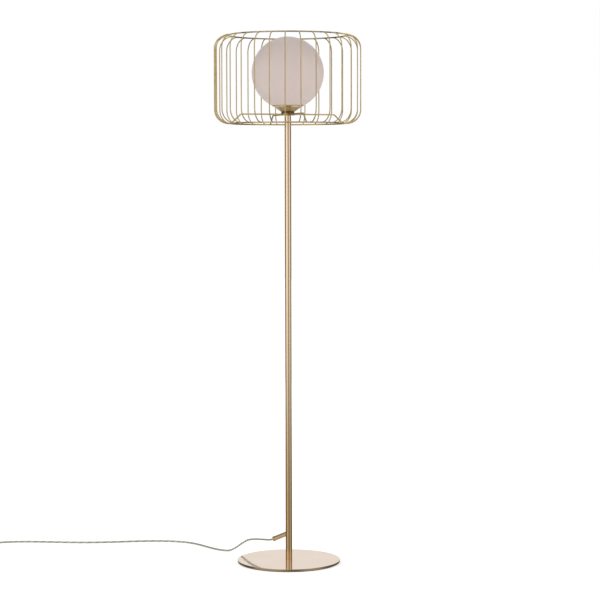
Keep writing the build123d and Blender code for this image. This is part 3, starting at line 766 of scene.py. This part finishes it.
def makePole():
    s = poleSettings
    tube = startWith(
        bpy.ops.mesh.primitive_circle_add, "poleTube", vertices=72, radius=s["radius"],
        fill_type="NOTHING", location=(0, 0, s["low"]),
    )
    startEdit(tube)
    for height in s["rings"]:
        top = max(v.co.z for v in bmesh.from_edit_mesh(tube.data).verts)
        push(0, 0, height - top)
    closeEdit()
    finishWith(tube, "SOLIDIFY", thickness=s["wall"], offset=-1.0)
    bevelEdges(tube, s["edge"], 3, 50)
    smooth(tube)
    settle(tube, "brass_plated", poleBrass, "pole")


sleeveSettings = {
    "height": 0.083,
    "along": (-0.703041, 0.589921, -0.397148),
    "radius": 0.0065,
    "bore": 0.0045,
    "root": 0.0045,
    "reach": 0.061,
    "beadRadius": 0.0075,
    "beadWide": 0.003,
    "beadEdge": 0.0011,
    "mouthEdge": 0.0004,
}


# The cable outlet: a short tube brazed to the pole, its mouth rolled over into a bead.
def makeSleeve():
    s = sleeveSettings
    beadAt = s["reach"] - s["beadWide"]
    outline = [
        (s["bore"], s["root"]), (s["radius"], s["root"]), (s["radius"], beadAt),
        (s["beadRadius"], beadAt), (s["beadRadius"], s["reach"]), (s["bore"], s["reach"]),
    ]
    sleeve = spinOutline("cableSleeve", outline, 48, [(s["beadEdge"], (3, 4)), (s["mouthEdge"], (5,))])
    holdOnly(sleeve)
    aimObject(sleeve, Vector(s["along"]).to_track_quat("Z", "Y"), (0, 0, s["height"]))
    fixPlace()
    settle(sleeve, "brass_plated", sleeveBrass, "cable_sleeve")


makeBase()
makePole()
makeSleeve()
print("base, pole and outlet made")


# ---- cage

cageSettings = {
    "ribs": 30,
    "firstRib": -92.0,
    "wire": 0.0015,
    "weld": 0.0019,
    "sides": 12,
    "endRadius": 0.164,
    "bendAt": 0.165,
    "bend": 0.038,
    "bendSteps": 12,
    "low": 1.230,
    "high": 1.473,
    "ringRadius": 0.1625,
    "ringWire": 0.002,
    "buttReach": 0.0036,
    "buttSwell": (1.0, 1.14, 0.99),
}


# One rib: out from the lower ring, round the bend, up, round again and back in to the upper ring.
def makeRibs():
    s = cageSettings
    rib = startWire("cageRib01", s["sides"], s["weld"], (s["endRadius"], 0, s["low"]))
    startEdit(rib)
    push(s["bendAt"] - s["endRadius"], 0, 0)
    scaleAbout((s["bendAt"], 0, s["low"]), s["wire"] / s["weld"])
    bend = {"steps": s["bendSteps"], "angle": math.pi / 2, "axis": (0, 1, 0)}
    bpy.ops.mesh.spin(center=(s["bendAt"], 0, s["low"] + s["bend"]), **bend)
    rise = s["high"] - s["low"] - 2 * s["bend"]
    push(0, 0, rise / 2)
    push(0, 0, rise / 2)
    bpy.ops.mesh.spin(center=(s["bendAt"], 0, s["high"] - s["bend"]), **bend)
    push(s["endRadius"] - s["bendAt"], 0, 0)
    scaleAbout((s["endRadius"], 0, s["high"]), s["weld"] / s["wire"])
    closeEdit()
    smooth(rib, 50)
    copyRound(rib, "cageRib{:02d}", s["ribs"], s["firstRib"], "cage_ribs")


# A ring of wire with a slightly swollen butt weld at the back.
def makeRing(name, height, node, paint):
    s = cageSettings
    ring = startWith(
        bpy.ops.mesh.primitive_torus_add, name, major_radius=s["ringRadius"],
        minor_radius=s["ringWire"], major_segments=240, minor_segments=16, location=(0, 0, height),
    )
    startEdit(ring)
    weldAt = Vector((0, s["ringRadius"], height))
    pickVerts(ring, lambda co: (co - weldAt).length < s["buttReach"])
    scaleAbout(weldAt, s["buttSwell"])
    endEdit()
    smooth(ring, 60)
    settle(ring, "brass_plated", paint, node)


armSettings = {
    "count": 4,
    "first": 18.0,
    "wire": 0.002,
    "weld": 0.0027,
    "sides": 14,
    "start": 0.0190,
    "startWeld": 0.0016,
    "height": 1.255,
    "corner": 0.136,
    "bend": 0.009,
    "bendSteps": 8,
    "endWeld": 0.0012,
    "endShort": 0.0015,
}


# One arm: level from the hub, bent down to the lower ring, welded at both ends.
def makeArms():
    s = armSettings
    drop = s["height"] - cageSettings["low"]
    out = cageSettings["ringRadius"] - s["corner"]
    fall = math.atan2(drop, out)
    tangent = s["bend"] * math.tan(fall / 2)
    bendAt = s["corner"] - tangent
    last = math.hypot(drop, out) - tangent - s["endShort"]
    arm = startWire("cageArm1", s["sides"], s["weld"], (s["start"], 0, s["height"]))
    startEdit(arm)
    push(s["startWeld"], 0, 0)
    scaleAbout((s["start"] + s["startWeld"], 0, s["height"]), s["wire"] / s["weld"])
    push(bendAt - s["start"] - s["startWeld"], 0, 0)
    below = (bendAt, 0, s["height"] - s["bend"])
    bpy.ops.mesh.spin(steps=s["bendSteps"], angle=fall, center=below, axis=(0, -1, 0))
    for reach in (last - s["endWeld"], s["endWeld"]):
        push(math.cos(fall) * reach, 0, -math.sin(fall) * reach)
    spots = [v.co.copy() for v in bmesh.from_edit_mesh(arm.data).verts if v.select]
    scaleAbout(sum(spots, Vector()) / len(spots), s["weld"] / s["wire"])
    closeEdit()
    smooth(arm, 50)
    copyRound(arm, "cageArm{}", s["count"], s["first"], "cage_arms")


makeRibs()
makeRing("cageLowRing", cageSettings["low"], "cage_low_ring", wireBrass)
makeRing("cageTopRing", cageSettings["high"], "cage_top_ring", ringBrassPaintedShade)
makeArms()
print("cage made")


# ---- hub, cup and globe

hubSettings = {"radius": 0.0195, "low": 1.252, "high": 1.258, "edge": 0.0006, "bore": 0.0051}
spacerSettings = {
    "radius": 0.0185,
    "waist": 0.0179,
    "low": 1.258,
    "high": 1.262,
    "edge": 0.0003,
    "waistEdge": 0.0008,
}
cupSettings = {
    "bore": 0.0051,
    "floor": 1.262,
    "floorRadius": 0.019,
    "floorBend": 0.0009,
    "coneHeight": 0.0128,
    "seatRadius": 0.037,
    "seatBend": 0.0012,
    "rimRadius": 0.045,
    "rimSteps": 5,
    "inset": 0.0004,  # of the middle of the sheet from its outside
    "lip": 0.0004,
    "sheet": 0.0012,
    "globeGap": 0.0003,
}
globeSettings = {"centre": 1.3693, "radius": 0.1, "wall": 0.003, "mouth": 0.035, "lip": 0.0011}


def makeHub():
    s = hubSettings
    bore, radius, low, high = s["bore"], s["radius"], s["low"], s["high"]
    outline = [(bore, low), (radius, low), (radius, high), (bore, high)]
    hub = spinOutline("cageHub", outline, 96, [(s["edge"], (1, 2))])
    settle(hub, "brass_plated", hubBrassPaintedShade, "cage_hub")
    s = spacerSettings
    outline = [
        (hubSettings["bore"], s["low"]), (s["radius"], s["low"]),
        (s["waist"], (s["low"] + s["high"]) / 2), (s["radius"], s["high"]),
        (hubSettings["bore"], s["high"]),
    ]
    spacer = spinOutline("cupSpacer", outline, 64, [(s["edge"], (1, 3)), (s["waistEdge"], (2,))])
    # painted shadow: the spacer's dark colour stands for the shadow gap under the cup
    settle(spacer, "holder_plastic", plain["spacerPaintedShadow"], "cup_spacer")


# The cup is one thickness of sheet: floor, cone, and a rim that flares along the globe.
def makeCup():
    s = cupSettings
    g = globeSettings
    half = s["sheet"] / 2
    under = g["radius"] + s["globeGap"] + half
    slope = math.atan2(s["coneHeight"], s["seatRadius"] - s["floorRadius"])
    inward = -half / math.tan((math.pi - slope) / 2)
    path = [(s["bore"], s["floor"] + half), (s["floorRadius"] + inward, s["floor"] + half)]
    for k in range(s["rimSteps"] + 1):
        radius = s["seatRadius"] - s["inset"] + (s["rimRadius"] - s["seatRadius"]) * k / s["rimSteps"]
        path.append((radius, g["centre"] - math.sqrt(under**2 - radius**2)))
    cup = drawPath("holderCup", path)
    roundCorners(cup, path, [(s["floorBend"], (1,)), (s["seatBend"], (2,))])
    spinRound(128)
    finishWith(cup, "SOLIDIFY", thickness=s["sheet"], offset=0.0, use_even_offset=True)
    bevelEdges(cup, s["lip"], 3, 60)
    smooth(cup)
    settle(cup, "brass_plated", cupBrass, "holder_cup")


# Blown globe: a sphere cut open at the bottom, given its wall, its mouth ground and fire polished.
def makeGlobe():
    s = globeSettings
    ball = startWith(
        bpy.ops.mesh.primitive_uv_sphere_add, "opalGlobe", segments=144, ring_count=96,
        radius=s["radius"], location=(0, 0, s["centre"]),
    )
    startEdit(ball)
    cut = s["centre"] - math.sqrt(s["radius"] ** 2 - s["mouth"] ** 2)
    bpy.ops.mesh.bisect(plane_co=(0, 0, cut), plane_no=(0, 0, 1), clear_inner=True)
    closeEdit()
    finishWith(ball, "SOLIDIFY", thickness=s["wall"], offset=-1.0, use_even_offset=True)
    bevelEdges(ball, s["lip"], 4, 40)
    smooth(ball, 40)
    settle(ball, "opal_glass", opalGlass, "globe", body="globe")


makeHub()
makeCup()
makeGlobe()
print("hub, cup and globe made")


# ---- foot switch and plug

switchSettings = {
    "at": (-0.905, 0.185),
    "radius": 0.033,
    "baseHigh": 0.010,
    "topRadius": 0.024,
    "top": 0.021,
    "wall": 0.002,
    "edge": 0.0006,
    "footRise": 0.0012,
    "seam": 0.0005,
    "seamGap": 0.0001,
    "brim": 0.003,
    "holeGap": 0.0003,
    "holeEdge": 0.0007,
    "holeLip": 0.0016,
    "buttonRadius": 0.013,
    "buttonTop": 0.0245,
    "dish": (0.0004, 0.0009),  # below the button's top, at its edge and in the middle
    "flange": 0.0155,
    "flangeLow": 0.0172,
    "flangeThick": 0.0015,
    "knobRim": (0.0016, 0.0032),  # in from the side of the button, where its rim and its dish start
    "trayEdge": 0.0005,
    "capEdge": 0.0018,
    "lipEdge": 0.0005,
    "knobEdge": 0.0009,
    "dishEdge": 0.0006,
    "cordHeight": 0.007,
    "reliefWide": 0.005,
    "reliefLong": 0.023,
}


moulded = ("switch_plastic", plain["switchPlastic"])


def makeSwitch():
    s = switchSettings
    x, y = s["at"]
    radius, wall, edge, high = s["radius"], s["wall"], s["edge"], s["baseHigh"]
    button, hole = s["buttonRadius"], s["buttonRadius"] + s["holeGap"]
    tray = [
        (0.0, 0.0), (radius - edge, 0.0), (radius, s["footRise"]), (radius, high - s["seam"]),
        (radius - edge, high - s["seamGap"]), (radius - wall, high - s["seamGap"]),
        (radius - wall, wall), (0.0, wall),
    ]
    base = spinOutline("switchBase", tray, 96, [(s["trayEdge"], (1, 2))], s["at"])
    settle(base, *moulded, "switch_base")
    cap = [
        (hole, s["top"] - wall), (s["topRadius"] - wall, s["top"] - wall),
        (radius - wall, high + s["brim"]), (radius - wall, high), (radius - edge, high),
        (radius, high + s["seam"]), (radius, high + s["brim"]), (s["topRadius"], s["top"]),
        (button + s["holeLip"], s["top"]), (hole, s["top"] - s["holeEdge"]),
    ]
    rounded = [(s["capEdge"], (6, 7)), (s["lipEdge"], (8,))]
    cover = spinOutline("switchCover", cap, 96, rounded, s["at"])
    settle(cover, *moulded, "switch_cover")
    flangeTop = s["flangeLow"] + s["flangeThick"]
    knob = [
        (button - wall, s["flangeLow"]), (s["flange"], s["flangeLow"]), (s["flange"], flangeTop),
        (button, flangeTop), (button, s["buttonTop"] - edge),
        (button - s["knobRim"][0], s["buttonTop"]),
        (button - s["knobRim"][1], s["buttonTop"] - s["dish"][0]), (0.0, s["buttonTop"] - s["dish"][1]),
        (0.0, s["buttonTop"] - wall), (button - wall, s["buttonTop"] - wall),
    ]
    rounded = [(s["knobEdge"], (4, 5)), (s["dishEdge"], (6,))]
    press = spinOutline("switchButton", knob, 64, rounded, s["at"])
    settle(press, *moulded, "switch_button", body="button")
    reliefs = []
    for k, side in enumerate((1, -1)):
        at = (x, y + side * (radius - wall), s["cordHeight"])
        reliefs.append(makeRelief(f"switchRelief{k + 1}", side, at, s["reliefWide"], s["reliefLong"]))
    return [base, cover] + reliefs


reliefSettings = {
    "bore": 0.0026,
    "small": 0.0034,
    "grooves": 4,
    "plain": 0.004,  # before the first groove
    "margin": 0.006,
    "share": 0.55,  # of each step that is groove
    "deep": (0.0007, 0.0008),
    "ramp": 0.0006,
    "shrink": 0.0001,
    "edge": 0.0002,
}


# A tapered relief with flex grooves, where the flex meets the switch or the plug.
def makeRelief(name, side, at, large, long):
    s = reliefSettings
    outline = [(s["bore"], 0.0), (large, 0.0)]
    each = (long - s["margin"]) / s["grooves"]
    for k in range(s["grooves"]):
        low = s["plain"] + each * k
        high = low + each * s["share"]
        outer = large + (s["small"] - large) * low / long
        outline += [(outer, low), (outer - s["deep"][0], low + s["ramp"])]
        outline += [(outer - s["deep"][1], high), (outer - s["shrink"], high + s["ramp"])]
    outline += [(s["small"], long), (s["bore"], long)]
    relief = spinOutline(name, outline, 32, [(s["edge"], (len(outline) - 2,))])
    placePiece(relief, (-side * math.pi / 2, 0, 0), at)
    return settle(relief, *moulded)


plugSettings = {
    "at": (-0.9074, -0.0500),
    "wide": 0.035,
    "neck": 0.012,
    "neckThin": 0.84,
    "thick": 0.0137,
    "swell": 0.0004,  # what the rounding adds
    "shoulder": 0.020,
    "long": 0.036,
    "edge": 0.002,
    "gripInset": 0.0022,
    "gripDeep": 0.0005,
    "gripEdge": 0.0003,
    "gripEnd": 0.003,
    "reliefIn": 0.001,
    "reliefWide": 0.0048,
    "reliefLong": 0.022,
    "pinRadius": 0.002,
    "pinApart": 0.0186,
    "pinOut": 0.019,
    "pinIn": 0.008,
    "pinTip": 0.001,
}


# A flat two pin plug: a block drawn in to a neck, rounded all over, with a shallow grip on each face.
def makePlug():
    s = plugSettings
    x, y = s["at"]
    middle = s["thick"] / 2
    front = s["long"] - s["shoulder"]
    body = startWith(
        bpy.ops.mesh.primitive_cube_add, "plugBody", size=1,
        location=(x, y - s["shoulder"] - front / 2, middle),
        scale=(s["wide"], front, s["thick"] - s["swell"]),
    )
    startEdit(body)
    pickFaces(body, lambda at, normal: normal.y > facing)
    push(0, s["shoulder"], 0)
    scaleAbout((x, y, middle), (s["neck"] / s["wide"], 1, s["neckThin"]))
    bpy.ops.mesh.select_mode(type="EDGE")
    pickAll()
    bpy.ops.mesh.bevel(offset=s["edge"], segments=4, affect="EDGES")
    low, high = y - s["shoulder"], y - s["gripEnd"]
    for way in (1, -1):
        pickFaces(body, lambda at, normal: normal.z * way > flatOn and low < at.y < high)
        bpy.ops.mesh.inset(thickness=s["gripInset"])
        push(0, 0, -way * s["gripDeep"])
    closeEdit()
    bevelEdges(body, s["gripEdge"], 2, 35)
    smooth(body, 30)
    settle(body, *moulded, "plug_body")
    pins = [makePin(f"plugPin{k + 1}", side) for k, side in enumerate((-1, 1))]
    at = (x, y - s["reliefIn"], middle)
    relief = makeRelief("plugRelief", 1, at, s["reliefWide"], s["reliefLong"])
    return [body, relief] + pins


def makePin(name, side):
    s = plugSettings
    x, y = s["at"]
    tip = y - s["long"] - s["pinOut"]
    length = s["pinIn"] + s["pinOut"]
    pin = startWith(
        bpy.ops.mesh.primitive_cylinder_add, name, vertices=32, radius=s["pinRadius"], depth=length,
        location=(x + side * s["pinApart"] / 2, tip + length / 2, s["thick"] / 2),
        rotation=(math.pi / 2, 0, 0),
    )
    startEdit(pin)
    pickEdges(pin, lambda a, b: max(abs(a.y - tip), abs(b.y - tip)) < edgeWithin)
    bpy.ops.mesh.bevel(offset=s["pinTip"], segments=5, affect="EDGES")
    closeEdit()
    smooth(pin, 40)
    return settle(pin, "bare_brass", plain["bareBrass"], "plug_pins")


tieSettings = {
    "degrees": 270.0,
    "inner": 0.0168,
    "outer": 0.0347,
    "high": 0.0110,
    "thick": 0.0004,
    "wide": 0.004,
    "bend": 0.0035,
    "edge": 0.00015,
}


# A flat tie round the turns of the stored flex.
def makeTie():
    s = tieSettings
    x0, y0 = leadSettings["coilAt"]
    tie = startWith(
        bpy.ops.mesh.primitive_cube_add, "flexTie1", size=1,
        location=((s["inner"] + s["outer"]) / 2, 0, s["high"] / 2),
        scale=(s["outer"] - s["inner"], s["wide"], s["high"]),
    )
    startEdit(tie)
    pickFaces(tie, lambda at, normal: abs(normal.y) > facing)
    bpy.ops.mesh.delete(type="FACE")
    pickEdges(tie, lambda a, b: abs(a.y - b.y) > s["wide"] / 2)
    bpy.ops.mesh.bevel(offset=s["bend"], segments=6, affect="EDGES")
    endEdit()
    finishWith(tie, "SOLIDIFY", thickness=s["thick"], offset=-1.0)
    bevelEdges(tie, s["edge"], 2, 50)
    placePiece(tie, (0, 0, math.radians(s["degrees"])), (x0, y0, 0))
    smooth(tie)
    return settle(tie, "holder_plastic", plain["holderPlastic"])


springSettings = {
    "radius": 0.008,
    "wire": 0.0005,
    "low": 0.0025,
    "high": 0.0219,
    "turns": 3,
    "floor": 0.002,
    "pressed": 0.9,  # share of its height that is left under a pressed button
}


# The return spring under the button, open coiled, its cut ends closed.
def makeSpring():
    s = springSettings
    x, y = switchSettings["at"]
    spring = startWire("switchSpring", 10, s["wire"], (0, -s["radius"], s["low"]), "NOTHING")
    rise = (s["high"] - s["low"]) / s["turns"]
    finishWith(spring, "SCREW", screw_offset=rise, iterations=s["turns"], steps=40, render_steps=40)
    startEdit(spring)
    bpy.ops.mesh.fill_holes(sides=0)
    closeEdit()
    placePiece(spring, at=(x, y, 0))
    smooth(spring, 50)
    settle(spring, "zinc_steel", plain["zincSteel"], "switch_spring")
    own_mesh(spring)
    return spring


switchPieces = makeSwitch() + [makeSpring()]
plugPieces = makePlug() + [makeTie()]
print("switch and plug made")

for piece in (seenFlex, storedFlex):
    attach(piece, "stand")
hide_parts("cord_run")
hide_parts("cord_lead", "cord_coil", "cord_tail")


# ---- finishes of the pieces that keep their solid

keptFinishes = {
    "padFoam": ["base_pad"],
    "zincSteel": ["base_screw", "pole_foot", "top_insert", "nipple", "globe_clips", "switch_screws"],
    "clearBush": ["sleeve_bush", "inner_cable"],
    "holderPlastic": ["lampholder_cap", "lampholder_shell"],
    "whiteCeramic": ["lampholder_insert"],
    "bareBrass": ["thread_shell", "centre_contact", "switch_contacts"],
    "bulbMetal": ["bulb_cap", "bulb_tip"],
    "blackGlaze": ["bulb_glaze"],
    "bulbWhite": ["bulb_glass"],
}

for finishName, nodeNames in keptFinishes.items():
    for nodeName in nodeNames:
        kept = cadNodes[nodeName].data.materials
        kept.clear()
        kept.append(plain[finishName])
print("kept pieces finished")


# ---- stage and light

stageSettings = {
    "floorHalf": 14.0,
    "floorShade": (0.86, 0.86, 0.86, 1),
    "floorGlow": 0.20,  # for all rays, so that the floor also lights the globe from below
    "floorLift": (0.18, 0.55),  # near the lamp and far from it, only as seen
    "liftReach": (1.2, 6.0),
    "worldLight": 0.62,
}

# What the polished pieces see around them: by angle from the camera's side, as a share of the turn and a
# grey, and by height, where a dimmer band in metres tints that grey.
surroundSteps = [
    (0.000, 1.00), (0.045, 1.00), (0.100, 0.14), (0.250, 0.10), (0.285, 1.20),
    (0.330, 1.40), (0.430, 1.35), (0.480, 0.70), (0.520, 0.30), (0.560, 0.34),
    (0.610, 1.20), (0.690, 1.20), (0.740, 0.40), (0.780, 0.08), (0.900, 0.12),
    (0.955, 1.00), (1.000, 1.00),
]
surroundSettings = {
    "radius": 4.0,
    "low": -4.0,
    "high": 7.0,
    "dimBelow": (-0.32, 0.55),
    "dimAbove": (-1.25, -0.90),
    "dimTone": (0.52, 0.50, 0.45, 1),
    "pitTone": (0.45, 0.39, 0.29, 1),
}


def startTree(holder):
    holder.use_nodes = True
    holder.node_tree.nodes.clear()
    return holder.node_tree


def seenRays(tree):
    path = addNode(tree, "LightPath")
    first = addMath(tree, "MAXIMUM")
    second = addMath(tree, "MAXIMUM")
    wire(path, "Is Camera Ray", first, 0)
    wire(path, "Is Glossy Ray", first, 1)
    wire(first, "Value", second, 0)
    wire(path, "Is Transmission Ray", second, 1)
    return second


def makeWorld():
    world = bpy.data.worlds.new("studioWorld")
    tree = startTree(world)
    seen = seenRays(tree)
    glow = stageSettings["worldLight"]
    lit = addNode(tree, "Background", {"Color": (1, 1, 1, 1), "Strength": glow})
    white = addNode(tree, "Background", {"Color": (1, 1, 1, 1), "Strength": 1.0})
    blend = addNode(tree, "MixShader")
    end = addNode(tree, "OutputWorld")
    wire(seen, "Value", blend, 0)
    wire(lit, "Background", blend, 1)
    wire(white, "Background", blend, 2)
    wire(blend, "Shader", end, "Surface")
    bpy.context.scene.world = world


def makeFloor():
    s = stageSettings
    floor = startWith(bpy.ops.mesh.primitive_plane_add, "studioFloor", size=2 * s["floorHalf"])
    finish = bpy.data.materials.new("floorPaper")
    tree = startTree(finish)
    seen = seenRays(tree)
    paper = addNode(tree, "BsdfDiffuse", {"Color": s["floorShade"]})
    lift = addNode(tree, "Emission", {"Color": (1, 1, 1, 1)})
    place = addNode(tree, "TexCoord")
    away = addNode(tree, "VectorMath", operation="LENGTH")
    near, far = s["liftReach"]
    low, high = s["floorLift"]
    rise = addNode(
        tree, "MapRange", {"From Min": near, "From Max": far, "To Min": low, "To Max": high}
    )
    strength = addMath(tree, "MULTIPLY_ADD", {2: s["floorGlow"]})
    total = addNode(tree, "AddShader")
    end = addNode(tree, "OutputMaterial")
    wire(place, "Object", away, 0)
    wire(away, "Value", rise, "Value")
    wire(rise, "Result", strength, 0)
    wire(seen, "Value", strength, 1)
    wire(strength, "Value", lift, "Strength")
    wire(paper, "BSDF", total, 0)
    wire(lift, "Emission", total, 1)
    wire(total, "Shader", end, "Surface")
    floor.data.materials.append(finish)
    floor.visible_glossy = False


# A tall ring of soft panels over a dim floor, open above, that only reflections see.
def makeSurround():
    s = surroundSettings
    panels = startWith(
        bpy.ops.mesh.primitive_cylinder_add, "studioPanels", vertices=96, radius=s["radius"],
        depth=s["high"] - s["low"], end_fill_type="NOTHING",
        location=(0, 0, (s["high"] + s["low"]) / 2),
    )
    finish = bpy.data.materials.new("panelGlow")
    tree = startTree(finish)
    place = addNode(tree, "TexCoord")
    split = addNode(tree, "SeparateXYZ")
    flip = addMath(tree, "MULTIPLY", {1: -1.0})
    angle = addMath(tree, "ARCTAN2")
    share = addNode(tree, "MapRange", {"From Min": -math.pi, "From Max": math.pi})
    ramp = addNode(tree, "ValToRGB")
    climb = addNode(
        tree, "MapRange", {"From Min": s["dimBelow"][0], "From Max": s["dimBelow"][1]},
        interpolation_type="SMOOTHSTEP",
    )
    fall = addNode(
        tree, "MapRange", {"From Min": s["dimAbove"][1], "From Max": s["dimAbove"][0]},
        interpolation_type="SMOOTHSTEP",
    )
    outside = addMath(tree, "MAXIMUM")
    tone = addNode(tree, "Mix", {mixA: s["dimTone"], mixB: (1, 1, 1, 1)}, data_type="RGBA")
    product = addNode(tree, "Mix", {0: 1.0}, data_type="RGBA", blend_type="MULTIPLY")
    glow = addNode(tree, "Emission", {"Strength": 1.0})
    end = addNode(tree, "OutputMaterial")
    stops = ramp.color_ramp.elements
    stops[0].position, stops[1].position = surroundSteps[0][0], surroundSteps[-1][0]
    for spot, grey in surroundSteps[1:-1]:
        stops.new(spot)
    for stop, (spot, grey) in zip(stops, surroundSteps):
        stop.position = spot
        stop.color = (grey, grey, grey, 1)
    wire(place, "Object", split, "Vector")
    wire(split, "Y", flip, 0)
    wire(split, "X", angle, 0)
    wire(flip, "Value", angle, 1)
    wire(angle, "Value", share, "Value")
    wire(share, "Result", ramp, "Fac")
    wire(split, "Z", climb, "Value")
    wire(split, "Z", fall, "Value")
    wire(climb, "Result", outside, 0)
    wire(fall, "Result", outside, 1)
    wire(outside, "Value", tone, 0)
    wire(ramp, "Color", product, mixA)
    wire(tone, mixed, product, mixB)
    wire(product, mixed, glow, "Color")
    wire(glow, "Emission", end, "Surface")
    panels.data.materials.append(finish)
    pit = startWith(
        bpy.ops.mesh.primitive_circle_add, "studioPit", vertices=96, radius=s["radius"],
        fill_type="NGON", location=(0, 0, s["low"]),
    )
    finish = bpy.data.materials.new("pitGlow")
    tree = startTree(finish)
    glow = addNode(tree, "Emission", {"Color": s["pitTone"], "Strength": 1.0})
    end = addNode(tree, "OutputMaterial")
    wire(glow, "Emission", end, "Surface")
    pit.data.materials.append(finish)
    for piece in (panels, pit):
        piece.visible_camera = False
        piece.visible_diffuse = False
        piece.visible_shadow = False
        piece.visible_transmission = False
        piece.visible_volume_scatter = False


lampAim = (0, 0, 0.9)
lampSettings = [
    # name, place, size, power in watts
    ("keyPanel", (-3.7, -2.4, 1.9), 2.4, 66.0),
    ("fillPanel", (3.8, -2.2, 1.6), 2.4, 72.0),
    ("backPanel", (-0.6, 4.4, 1.9), 2.6, 44.0),
]


def makeLamps():
    for name, place, size, power in lampSettings:
        lamp = bpy.data.lights.new(name, "AREA")
        lamp.shape = "SQUARE"
        lamp.size = size
        lamp.energy = power
        holder = linkNew(name, lamp)
        aimObject(holder, (Vector(place) - Vector(lampAim)).to_track_quat("Z", "Y"), place)
        holder.visible_glossy = False


makeWorld()
makeFloor()
makeSurround()
makeLamps()
bpy.context.scene.view_settings.view_transform = "Standard"
print("stage and light made")
